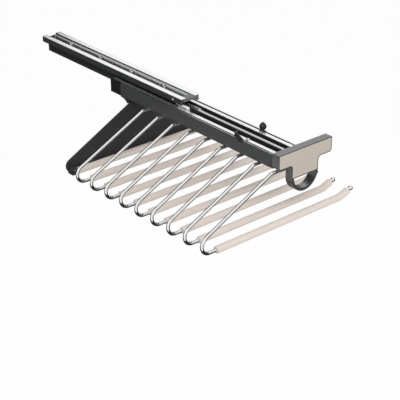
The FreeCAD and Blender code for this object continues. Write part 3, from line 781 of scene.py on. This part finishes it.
def turned(name: str, foot: Vector, heading: float, outline: list[tuple[float, float]],
           segments: int) -> Piece:
    """Turn a piece on a straight axis, ring by ring.

    Args:
        name: Name of the piece.
        foot: Where the distances along the axis start.
        heading: Direction of the axis, in radians from +X towards +Z.
        outline: Distance along the axis and radius of each ring.
        segments: Number of sides.

    Returns:
        The piece.
    """
    lathe = WireBender(outline[0][1], segments, heading=heading)
    piece = lathe.start(name, foot + lathe.direction() * outline[0][0], heading)
    for (here, now), (there, then) in zip(outline, outline[1:]):
        lathe.taper(max(there - here, RING), then / now)
    close_up()
    return piece


# ---- sub-assemblies ------------------------------------------------------------------
@dataclass
class FixedRail:
    """Rail under the shelf, with its guide, nose, rivets and eyelets."""

    hole_count: int = 4
    hole_pitch: float = 96.0 * MM
    eyelet_radius: float = 4.1 * MM
    eyelet_bore: float = 2.4 * MM
    eyelet_rise: float = 0.12 * MM      # flange, above the rail's face
    eyelet_depth: float = 0.3 * MM
    eyelet_round: float = 0.3 * MM      # width of the flange's rounded edges

    def eyelet(self) -> Piece:
        """Turn one flanged eyelet for a screw hole, standing at the origin.

        Returns:
            The eyelet.
        """
        bore, rim, rise = self.eyelet_bore, self.eyelet_radius, self.eyelet_rise
        foot = -self.eyelet_depth
        outline = ((rim, foot), (rim, 0.6 * rise), (rim - self.eyelet_round, rise),
                   (bore + self.eyelet_round, rise), (bore, 0.0), (bore, foot))
        deselect()
        bpy.ops.mesh.primitive_circle_add(vertices=40, radius=bore, location=(0, 0, foot))
        eyelet = take("rail_eyelet")
        pick(eyelet, Pick.EDGE, lambda edge: True)
        now, here = bore, foot
        for then, there in outline:
            extrude(z=there - here)
            bpy.ops.transform.resize(value=(then / now, then / now, 1),
                                     center_override=(0, 0, there))
            now, here = then, there
        close_up()
        return eyelet

    def build(self) -> None:
        """Dress the rail's nodes and set an eyelet in each screw hole along the trough."""
        zinc = BrightZinc("rivet_zinc").make()
        dress(BrushedAluminium().make(), "mounting_rail")
        dress(BlackZinc().make(), "guide_channel")
        dress(MouldedPlastic("moulded_nose_plastic", "#6a6b6d", 0.35).make(), "guide_nose")
        dress(zinc, "rail_rivets")
        low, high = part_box("mounting_rail")
        first = (low.y + high.y - (self.hole_count - 1) * self.hole_pitch) / 2
        places = {f"rail_eyelet_{number + 1}": Vector((0, first + number * self.hole_pitch,
                                                       high.z))
                  for number in range(self.hole_count)}
        for piece in spread(self.eyelet(), places):
            mount(piece, zinc, "rail")


@dataclass
class BallRaces:
    """Ball cages between the guide's legs and the runner."""

    sheet: float = 0.9 * MM
    edge_round: float = 0.3 * MM
    strip_top: float = 8.0 * MM         # cage's strip, above its lowest edge
    shelf_foot: float = 1.0 * MM        # how far the shelf's web goes down into the strip
    shelf_drop: float = 1.2 * MM        # folded shelf, below the lug's upper corner
    shelf_width: float = 6.4 * MM
    shelf_length: float = 31.0 * MM
    roller_radius: float = 1.8 * MM
    roller_width: float = 2.6 * MM
    roller_rim: float = 0.6 * MM        # wall around its sunk hub
    hub_depth: float = 0.5 * MM
    roller_back: float = 2.6 * MM       # roller's axle, behind the lug's front edge
    roller_drop: float = 3.6 * MM       # and below the shelf

    def strip(self, side: Side) -> Piece:
        """Copy a cage with its ball pockets and cut its front lug down to the strip.

        Args:
            side: Side of the cage.

        Returns:
            The strip.
        """
        node = f"ball_cage_{side.value}"
        strip = bpy.data.objects.new(f"cage_strip_{side.value}",
                                     frame["nodes"][node].data.copy())
        bpy.context.scene.collection.objects.link(strip)
        open_up(strip)
        bpy.ops.mesh.remove_doubles(threshold=MERGE)
        bpy.ops.mesh.bisect(plane_co=(0, 0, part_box(node)[0].z + self.strip_top),
                            plane_no=(0, 0, 1), use_fill=True, clear_outer=True)
        close_up()
        return strip

    def shelf(self) -> Piece:
        """Fold the left cage's lug: up from the strip, then out over the ridge.

        Returns:
            The folded lug.
        """
        low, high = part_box("ball_cage_left")
        foot = low.z + self.strip_top - self.shelf_foot
        top = high.z - self.shelf_drop
        deselect()
        bpy.ops.mesh.primitive_plane_add(size=1, rotation=(0, math.pi / 2, 0), location=(
            (low.x + high.x) / 2, low.y + self.shelf_length / 2, (foot + top) / 2))
        lug = take("cage_shelf_left", (top - foot, self.shelf_length, 1))
        pick(lug, Pick.EDGE, lambda edge: all(
            abs(lug.data.vertices[i].co.z - top) < NEAR for i in edge.vertices))
        extrude(x=-self.shelf_width)
        close_up()
        wall = lug.modifiers.new("wall", "SOLIDIFY")
        wall.thickness = self.sheet
        wall.offset = 0
        bpy.ops.object.modifier_apply(modifier=wall.name)
        soften(lug, self.edge_round)
        return lug

    def roller(self) -> Piece:
        """Turn the small roller at the front of the left cage's lug, with its hub sunk in.

        Returns:
            The roller.
        """
        low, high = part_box("ball_cage_left")
        deselect()
        bpy.ops.mesh.primitive_cylinder_add(
            vertices=24, radius=self.roller_radius, depth=self.roller_width,
            rotation=(0, -math.pi / 2, 0),
            location=(low.x - self.roller_width / 2, low.y + self.roller_back,
                      high.z - self.shelf_drop - self.roller_drop))
        roller = take("cage_roller_left")
        pick(roller, Pick.FACE, lambda face: face.normal.x < -0.9)
        bpy.ops.mesh.inset(thickness=self.roller_rim)
        extrude(x=self.hub_depth)
        leave()
        return roller

    def build(self) -> None:
        """Model the cages and dress them and the balls."""
        # painted light: the cages are near white and nearly matt, so they stay bright in the
        # rail's shade
        cage = BrightZinc("cage_zinc", "#fbfbfa", 0.12).make()
        dress(ChromePlate("bearing_steel", "#d9dadb", gloss=(0.05, 0.1)).make(),
              "balls_left", "balls_right")
        for side in Side:
            mount(self.strip(side), cage, f"cage_{side.value}",
                  f"ball_cage_{side.value}")
        for piece in (self.shelf(), self.roller()):
            mount(piece, cage, "cage_left")


@dataclass
class Beam:
    """Channel that carries everything that moves, with its runner and small parts."""

    highlight_edge_width: float = 0.7 * MM           # outer part of the left wall's upper edge, painted bare as its highlight
    hook_length: float = 6.5 * MM
    hook_slant: float = 1.1             # lean of each of its lines, per distance from its middle
    hook_wall: float = 1.3 * MM         # its leg outside the beam's wall
    hook_grip: float = 4.0 * MM         # how far that leg reaches down
    hook_slope: float = 2.2 * MM        # how far its top falls towards the leg
    hook_gap: float = 0.6 * MM          # between its underside and the ridge, beside its pad
    hook_reach: float = 1.4 * MM        # its toe, past the stop's right side
    hook_toe: float = 0.8 * MM          # width of the toe
    hook_round: float = 0.5 * MM
    clip_wall: float = 2.0 * MM
    clip_width: float = 9.0 * MM
    clip_lap: float = 0.4 * MM          # how far the clip reaches up into the post
    clip_foot: float = 0.7              # width of its foot, as a share
    clip_round: float = 0.6 * MM
    screw_radius: float = 3.1 * MM
    screw_height: float = 2.2 * MM      # height of its head's side
    drive_rim: float = 0.5 * MM         # from the head's flat top to the drive
    drive_depth: float = 0.9 * MM
    screw_ahead: float = 17.0 * MM      # in front of the stop
    post_sides: int = 32

    def hook(self) -> Piece:
        """Model the stop that straddles the left ridge and hooks over the beam's wall.

        Returns:
            The stop.
        """
        low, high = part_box("bumper")
        middle = (low + high) / 2
        wall_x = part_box("beam")[0].x
        ridge_x = -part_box("runner_profile")[1].x
        left, right = wall_x - self.hook_wall, high.x + self.hook_reach
        toe_x = right - self.hook_toe
        foot = low.z + self.hook_gap
        deselect()
        bpy.ops.mesh.primitive_cube_add(size=1, location=(
            (left + right) / 2, middle.y, (foot + high.z) / 2))
        hook = take("ridge_hook", (right - left, self.hook_length, high.z - foot))
        open_up(hook)
        for x in (wall_x, ridge_x, toe_x):
            bpy.ops.mesh.select_all(action="SELECT")
            bpy.ops.mesh.bisect(plane_co=(x, 0, 0), plane_no=(1, 0, 0))
        pick(hook, Pick.FACE, lambda face: face.normal.z < -0.9 and face.center.x < wall_x)
        extrude(z=-self.hook_grip)
        pick(hook, Pick.FACE, lambda face: (face.normal.z < -0.9 and face.center.z > low.z
                                            and ridge_x < face.center.x < toe_x))
        extrude(z=-self.hook_gap)
        pick(hook, Pick.POINT, lambda point: (point.co.z > high.z - NEAR
                                              and point.co.x < wall_x + NEAR))
        shift(z=-self.hook_slope)
        leave()
        slope_z = high.z - self.hook_slope
        for x in sorted({round(point.co.x, 6) for point in hook.data.vertices}):
            # what lies left of a line leans along with it, and the slope with the leg
            pick(hook, Pick.POINT, lambda point: point.co.x < x + NEAR or (
                point.co.x < wall_x + NEAR and abs(point.co.z - slope_z) < NEAR))
            shift(y=(x - middle.x) * self.hook_slant)
        leave()
        soften(hook, self.hook_round)
        return hook

    def post(self) -> Piece:
        """Turn the glide post: foot ring, waist, flared skirt and rounded cone.

        Returns:
            The post.
        """
        low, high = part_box("glide_post")
        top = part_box("beam")[1].z
        foot = Vector(((low.x + high.x) / 2, (low.y + high.y) / 2, top))
        # share of the height and share of the widest radius
        outline = ((0.0, 0.8), (0.08, 0.8), (0.11, 0.62), (0.17, 0.62), (0.2, 0.93),
                   (0.24, 1.0), (0.4, 1.0), (0.6, 0.84), (0.78, 0.62), (0.9, 0.4),
                   (0.97, 0.22), (1.0, 0.06))
        return turned("wall_post", foot, math.pi / 2,
                      [(high_share * (high.z - top), wide_share * (high.x - low.x) / 2)
                       for high_share, wide_share in outline], self.post_sides)

    def post_clip(self) -> Piece:
        """Shape the post's leg that grips the beam's right wall from outside.

        Returns:
            The leg.
        """
        low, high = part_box("glide_post")
        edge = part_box("beam")[1]
        middle_z = (low.z + edge.z) / 2
        deselect()
        bpy.ops.mesh.primitive_cube_add(size=1, location=(
            edge.x + self.clip_wall / 2, (low.y + high.y) / 2, middle_z + self.clip_lap / 2))
        clip = take("wall_post_clip",
                    (self.clip_wall, self.clip_width, edge.z - low.z + self.clip_lap))
        pick(clip, Pick.POINT, lambda point: point.co.z < middle_z)
        bpy.ops.transform.resize(value=(1, self.clip_foot, 1))
        leave()
        soften(clip, self.clip_round)
        return clip

    def ridge_screw(self) -> Piece:
        """Turn the pan head screw that stands on the left ridge, with its sunk drive.

        Returns:
            The screw.
        """
        low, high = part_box("bumper")
        deselect()
        bpy.ops.mesh.primitive_cylinder_add(
            vertices=32, radius=self.screw_radius, depth=self.screw_height,
            location=((low.x + high.x) / 2, low.y - self.screw_ahead,
                      low.z + self.screw_height / 2))
        screw = take("ridge_screw")
        pick(screw, Pick.FACE, lambda face: face.normal.z > 0.9)
        # millimetres in and up, ring by ring over the head's dome
        for inward, up in ((0.25, 0.3), (0.5, 0.25), (0.8, 0.15)):
            bpy.ops.mesh.inset(thickness=inward * MM)
            shift(z=up * MM)
        bpy.ops.mesh.inset(thickness=self.drive_rim)
        extrude(z=-self.drive_depth)
        leave()
        return screw

    def build(self) -> None:
        """Dress the beam and the runner, and set the small parts on them."""
        black = MouldedPlastic().make()
        zinc = BrightZinc("screw_zinc").make()
        low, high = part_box("beam")
        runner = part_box("runner_profile")[1]
        # painted highlight: the beam's upper edges are bare metal for their bright line
        dress(PowderCoat("powder_coat_highlight_edges", highlight_edge_z=high.z,
                         edge_x=low.x + self.highlight_edge_width).make(), "beam")
        dress(PowderCoat().make(), "clamp_strip")
        dress(GroovedRunner(top_z=runner.z, edge_x=runner.x).make(), "runner_profile")
        dress(black, "end_cap", "stop_block")
        dress(zinc, "strip_screws", "panel_screws")
        mount(self.hook(), black, "rack", "bumper")
        mount(self.ridge_screw(), zinc, "rack")
        mount(self.post(), black, "rack", "glide_post")
        mount(self.post_clip(), black, "rack")


@dataclass
class FrontFrame:
    """T shaped front with its face plate."""

    def build(self) -> None:
        """Dress the frame, its plate and its screws."""
        dress(MouldedPlastic("moulded_frame_graphite", "#8c8e90", 0.33, metallic=0.9,
                             grain_depth=0.012).make(), "front_frame")
        dress(ChampagneInlay().make(), "inlay")
        dress(BrightZinc("frame_screw_zinc").make(), "frame_screws")


@dataclass
class RearPanel:
    """Dark ribbed plate behind the last arm."""

    def build(self) -> None:
        """Dress the panel."""
        dress(MouldedPlastic("moulded_panel_graphite", "#323334", 0.5).make(), "rear_panel")


@dataclass
class ArmSet:
    """Chromed wire arms with soft sleeves and bright tips."""

    count: int = 9
    wire_radius: float = 3.0 * MM
    root_length: float = 16.0 * MM      # root, right of the beam's middle
    leg_start: float = 8.4 * MM         # corner of root and leg, left of the beam's wall
    leg_tilt: float = math.radians(26.1)
    root_bend: float = 10.0 * MM
    hairpin: float = 15.5 * MM
    bar_reach: float = 128.0 * MM
    tip_tilt: float = math.radians(19.0)
    tip_bend: float = 24.0 * MM
    tip_length: float = 25.6 * MM
    sleeve_radius: float = 6.4 * MM
    sleeve_start: float = 14.0 * MM
    sleeve_stop: float = 4.4 * MM       # bare wire between sleeve and ball
    sleeve_lead: float = 1.6 * MM       # length of its drawn in ends
    sleeve_draw: float = 1.1 * MM       # how far they are drawn in
    sleeve_round: float = 0.35          # share of lead and draw, where an end's curve breaks
    ball_radius: float = 4.3 * MM
    collar: float = 1.5 * MM            # length of the collar behind the ball
    collar_edge: float = 0.3 * MM
    collar_width: float = 1.16          # its radius, and the groove's, per wire's radius
    groove: float = 0.9
    panel_root: float = 12.0 * MM       # root of the panel's bar, left of its sleeve
    sides: int = 28                     # of sleeves and tips
    smooth: float = 40.0                # degrees

    def levels(self) -> tuple[float, float, float]:
        """Beam's left wall, and the heights of the roots and of the bars."""
        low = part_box("beam")[0]
        return low.x, low.z - self.wire_radius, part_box("arm_1")[0].z + self.wire_radius

    def hairpin_corner(self) -> float:
        """X of the corner where leg and bar would meet without a bend."""
        wall, root_z, bar_z = self.levels()
        return wall - self.leg_start - (root_z - bar_z) / math.tan(self.leg_tilt)

    def bar_start(self) -> float:
        """X where the hairpin ends and the bar begins."""
        return self.hairpin_corner() + self.hairpin / math.tan(self.leg_tilt / 2)

    def finish_bar(self, bender: WireBender, start_x: float, ends: float = 0.0) -> None:
        """Run a bar, its last bend and its raised end.

        Args:
            bender: Bender whose end stands on the bar's centre line.
            start_x: X where the bar begins.
            ends: Length that is left off the raised end.
        """
        back = self.tip_bend * math.tan(self.tip_tilt / 2)
        bender.run(self.bar_reach - back - start_x)
        bender.turn(self.tip_tilt, self.tip_bend, 6)
        bender.run(self.tip_length - back - ends)

    def arm(self) -> Piece:
        """Model one arm's wire from its root under the beam to its raised end.

        Returns:
            The wire.
        """
        wall, root_z, _ = self.levels()
        corner_x = wall - self.leg_start
        first_back = self.root_bend * math.tan(self.leg_tilt / 2)
        hairpin_turn = math.pi - self.leg_tilt
        hairpin_back = self.hairpin * math.tan(hairpin_turn / 2)
        leg = (corner_x - self.hairpin_corner()) / math.cos(self.leg_tilt)
        bender = WireBender(self.wire_radius)
        wire = bender.start("arm_wire", Vector((self.root_length, 0, root_z)), math.pi)
        bender.run(self.root_length - corner_x - first_back)
        bender.turn(self.leg_tilt, self.root_bend, 6)
        bender.run(leg - first_back - hairpin_back)
        bender.turn(hairpin_turn, self.hairpin, 26)
        self.finish_bar(bender, self.bar_start())
        close_up()
        return wire

    def panel_bar(self) -> Piece:
        """Model the bar that the rear panel carries.

        Returns:
            The bar.
        """
        start_x = self.bar_start() + self.sleeve_start - self.panel_root
        bender = WireBender(self.wire_radius)
        wire = bender.start("panel_bar_wire", Vector((start_x, 0, self.levels()[2])), 0.0)
        self.finish_bar(bender, start_x)
        close_up()
        return wire

    def sleeve(self) -> Piece:
        """Model one soft sleeve with drawn in, rounded ends.

        Returns:
            The sleeve.
        """
        start_x = self.bar_start() + self.sleeve_start
        lead, radius = self.sleeve_lead, self.sleeve_radius
        slim = (radius - self.sleeve_draw) / radius
        outer = self.sleeve_round
        nearly = 1 - (1 - slim) * outer
        bender = WireBender(radius * slim, self.sides)
        tube = bender.start("soft_sleeve", Vector((start_x, 0, self.levels()[2])), 0.0)
        bender.taper(lead * outer, nearly / slim)
        bender.taper(lead * (1 - outer), 1 / nearly)
        self.finish_bar(bender, start_x + lead, self.sleeve_stop + lead)
        bender.taper(lead * (1 - outer), nearly)
        bender.taper(lead * outer, slim / nearly)
        close_up()
        return tube

    def tip(self) -> Piece:
        """Turn one bright ball tip with its collar and the groove between them.

        Returns:
            The tip.
        """
        ball, wire = self.ball_radius, self.wire_radius
        middle = self.tip_length + ball * 0.6
        collar = middle - ball - self.collar
        wide, groove, edge = wire * self.collar_width, wire * self.groove, self.collar_edge
        outline = [(collar, wire * 1.02), (collar + edge, wide),
                   (collar + self.collar, wide), (collar + self.collar + edge, groove)]
        first = math.asin(groove / ball)
        for step in range(13):
            turn = first + (math.pi - first) * step / 12.5
            outline.append((middle - ball * math.cos(turn), ball * math.sin(turn)))
        return turned("ball_tip", Vector((self.bar_reach, 0, self.levels()[2])),
                      self.tip_tilt, outline, self.sides)

    def build(self) -> None:
        """Model one arm, sleeve and tip, set them out and add the panel's bar."""
        chrome = ChromePlate().make()
        soft = SoftSleeve().make()
        rows = []
        for number in range(1, self.count + 2):
            low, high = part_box(f"tip_{number}")
            rows.append(Vector((0, (low.y + high.y) / 2, 0)))
        arms = {f"arm_{i}_wire": row for i, row in enumerate(rows[:-1], 1)}
        sleeves = {f"soft_sleeve_{i}": row for i, row in enumerate(rows, 1)}
        tips = {f"ball_tip_{i}": row for i, row in enumerate(rows, 1)}
        for model, places, node, material, slot in (
                (self.arm(), arms, "arm", chrome, Slot.CHROME),
                (self.sleeve(), sleeves, "sleeve", soft, Slot.SLEEVE),
                (self.tip(), tips, "tip", chrome, Slot.CHROME)):
            for number, piece in enumerate(spread(model, places), 1):
                mount(piece, material, "rack", f"{node}_{number}", self.smooth)
        bar, = spread(self.panel_bar(), {"panel_bar_wire": rows[-1]})
        mount(bar, chrome, "rack", "panel_bar", self.smooth)


# ---- studio --------------------------------------------------------------------------
@dataclass
class Studio:
    """Pale floor, soft light, dark cards for the metal to reflect, and the camera."""

    floor_z: float = -0.95
    floor_size: float = 16.0
    floor_glow: float = 0.95            # how much of the floor is plain white to the eye
    lamp_world: float = 0.62            # strength of the surroundings as a light
    lens: float = 107.215
    card_reach: float = 7.0
    card_drop: float = 0.75             # ground card below the beam
    card_near: float = 0.8              # how far it comes out in front of the beam's middle
    band_top: float = math.radians(18.5)  # how high the dark band stands above the horizon
    azimuth: float = math.radians(-40.496)
    elevation: float = math.radians(27.436)
    camera_offset: Vector = field(default_factory=lambda: Vector((-1.21177, -1.23937, 0.81579)))

    def seen_directly(self, owner: Owner) -> Node:
        """Tell rays that show a surface from rays that only light others.

        Args:
            owner: Material or world that asks.

        Returns:
            Node that gives 1 for camera, glossy and transmission rays and 0 for the rest.
        """
        path = add_node(owner, "LightPath")
        first = add_node(owner, "Math", {0: path.outputs["Is Camera Ray"],
                                         1: path.outputs["Is Glossy Ray"]},
                         operation="MAXIMUM")
        return add_node(owner, "Math", {0: first, 1: path.outputs["Is Transmission Ray"]},
                        operation="MAXIMUM")

    def world(self) -> None:
        """White surroundings that light the part at a plain level."""
        world = bpy.data.worlds.new("studio_white")
        world.use_nodes = True
        world.node_tree.nodes.clear()
        bpy.context.scene.world = world
        strength = add_node(world, "MapRange", {
            "Value": self.seen_directly(world), "To Min": self.lamp_world, "To Max": 1.0})
        white = add_node(world, "Background", {"Color": (1, 1, 1, 1), "Strength": strength})
        add_node(world, "OutputWorld", {"Surface": white})

    def floor(self) -> None:
        """Pale floor: white to the eye, and it keeps the part's soft shadow."""
        deselect()
        bpy.ops.mesh.primitive_plane_add(size=self.floor_size, location=(0.6, 0.8, self.floor_z))
        floor = bpy.context.active_object
        floor.name = "studio_floor"
        material = blank_material("studio_floor_white")
        diffuse = add_node(material, "BsdfDiffuse", {"Color": srgb("#f4f4f4")})
        glow = add_node(material, "Emission", {"Strength": 1.0})
        share = add_node(material, "Math", {0: self.seen_directly(material),
                                            1: self.floor_glow}, operation="MULTIPLY")
        mixed = add_node(material, "MixShader", {0: share, 1: diffuse, 2: glow})
        add_node(material, "OutputMaterial", {"Surface": mixed})
        floor.data.materials.append(material)

    def card(self, card: Piece, name: str, colour: str) -> None:
        """Make a mesh a dark card that only reflections see, as set beside metal for its edges.

        Args:
            card: Mesh at its place.
            name: Name of the card.
            colour: How dark it is.
        """
        card.name = name
        material = blank_material(f"{name}_matt")
        black = add_node(material, "BsdfDiffuse", {"Color": srgb(colour)})
        add_node(material, "OutputMaterial", {"Surface": black})
        card.data.materials.append(material)
        for ray in ("camera", "diffuse", "shadow", "transmission", "volume_scatter"):
            setattr(card, f"visible_{ray}", False)

    def far_half(self, card: Piece, middle: Vector) -> None:
        """Cut a card along the line that runs across the view, and keep its far side.

        Args:
            card: Card to cut.
            middle: Middle of the beam.
        """
        ahead = Vector((-math.sin(self.azimuth), math.cos(self.azimuth), 0))
        open_up(card)
        bpy.ops.mesh.bisect(plane_co=tuple(middle - ahead * self.card_near),
                            plane_no=tuple(ahead), clear_inner=True)
        leave()

    def flag(self, name: str, middle: Vector, turn: float, half: float, top: float) -> None:
        """Stand a black flag far off, for the dark edges of the bright wires.

        Args:
            name: Name of the card.
            middle: Point that it faces.
            turn: Its direction from there, in degrees from +Y towards +X.
            half: Half of the angle that it spans, in degrees.
            top: How many degrees it stands above the horizon.
        """
        turn, half, top = (math.radians(angle) for angle in (turn, half, top))
        reach = self.card_reach - 1
        away = Vector((math.sin(turn), math.cos(turn), 0))
        rise = reach * math.tan(top)
        deselect()
        bpy.ops.mesh.primitive_plane_add(
            size=1, rotation=(math.pi / 2, 0, -turn),
            location=middle + away * reach + Vector((0, 0, (rise - self.card_drop) / 2)))
        flag = bpy.context.active_object
        flag.scale = (2 * reach * math.tan(half), rise + self.card_drop, 1)
        self.card(flag, name, "#161617")

    def cards(self, middle: Vector) -> None:
        """Lay a dark card under and behind the part and stand a low dark band behind it.

        Args:
            middle: Middle of the beam.
        """
        reach = self.card_reach
        ground = middle.z - self.card_drop
        deselect()
        bpy.ops.mesh.primitive_plane_add(size=2 * reach, location=(middle.x, middle.y, ground))
        floor_card = bpy.context.active_object
        self.far_half(floor_card, middle)
        self.card(floor_card, "ground_card", "#303031")
        height = reach * math.tan(self.band_top) + self.card_drop
        deselect()
        bpy.ops.mesh.primitive_cylinder_add(
            vertices=48, radius=reach, depth=height, end_fill_type="NOTHING",
            location=(middle.x, middle.y, ground + height / 2))
        band = bpy.context.active_object
        self.far_half(band, middle)
        self.card(band, "horizon_card", "#3e3e3f")
        self.flag("rear_flag_card", middle, -8, 22, 60)
        self.flag("side_flag_card", middle, 152, 16, 12)

    def lamp(self, name: str, place: Vector, target: Vector, size: float, power: float) -> None:
        """Add a square soft lamp that points at a target.

        Args:
            name: Name of the lamp.
            place: Where it stands.
            target: Point that it lights.
            size: Length of its side.
            power: Its power in watts.
        """
        light = bpy.data.lights.new(name, "AREA")
        light.shape = "SQUARE"
        light.size = size
        light.energy = power
        lamp = bpy.data.objects.new(name, light)
        lamp.location = place
        lamp.rotation_euler = (place - target).to_track_quat("Z", "Y").to_euler()
        lamp.visible_glossy = False
        bpy.context.scene.collection.objects.link(lamp)

    def camera(self) -> None:
        """Set the camera at its place beside the beam."""
        low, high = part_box("beam")
        data = bpy.data.cameras.new("studio_camera")
        data.lens = self.lens
        data.sensor_width = 36.0
        data.clip_start = 0.05
        data.clip_end = 60.0
        camera = bpy.data.objects.new("studio_camera", data)
        camera.location = Vector((low.x, low.y, high.z)) + self.camera_offset
        back = Vector((math.sin(self.azimuth) * math.cos(self.elevation),
                       -math.cos(self.azimuth) * math.cos(self.elevation),
                       math.sin(self.elevation)))
        camera.rotation_euler = back.to_track_quat("Z", "Y").to_euler()
        bpy.context.scene.collection.objects.link(camera)
        bpy.context.scene.camera = camera

    def build(self) -> None:
        """Set up the whole studio."""
        bpy.context.scene.view_settings.view_transform = "Standard"
        low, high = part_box("beam")
        middle = (low + high) / 2
        self.world()
        self.floor()
        self.cards(middle)
        self.lamp("key_lamp", middle + Vector((-1.2, -0.9, 2.2)), middle, 1.4, 26.0)
        self.lamp("fill_lamp", middle + Vector((0.6, -2.4, 0.9)), middle, 1.6, 20.0)
        self.camera()


def main() -> None:
    """Build the studio and every sub-assembly, and log each one as it is ready."""
    logging.basicConfig(level=logging.INFO, format="%(message)s")
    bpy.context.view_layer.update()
    parts: dict[str, Callable[[], None]] = {
        "studio": Studio().build,
        "fixed rail": FixedRail().build,
        "ball races": BallRaces().build,
        "beam": Beam().build,
        "front frame": FrontFrame().build,
        "rear panel": RearPanel().build,
        "arms": ArmSet().build,
    }
    for name, build in parts.items():
        build()
        log.info("%s is ready", name)


if __name__ == "__main__":
    main()
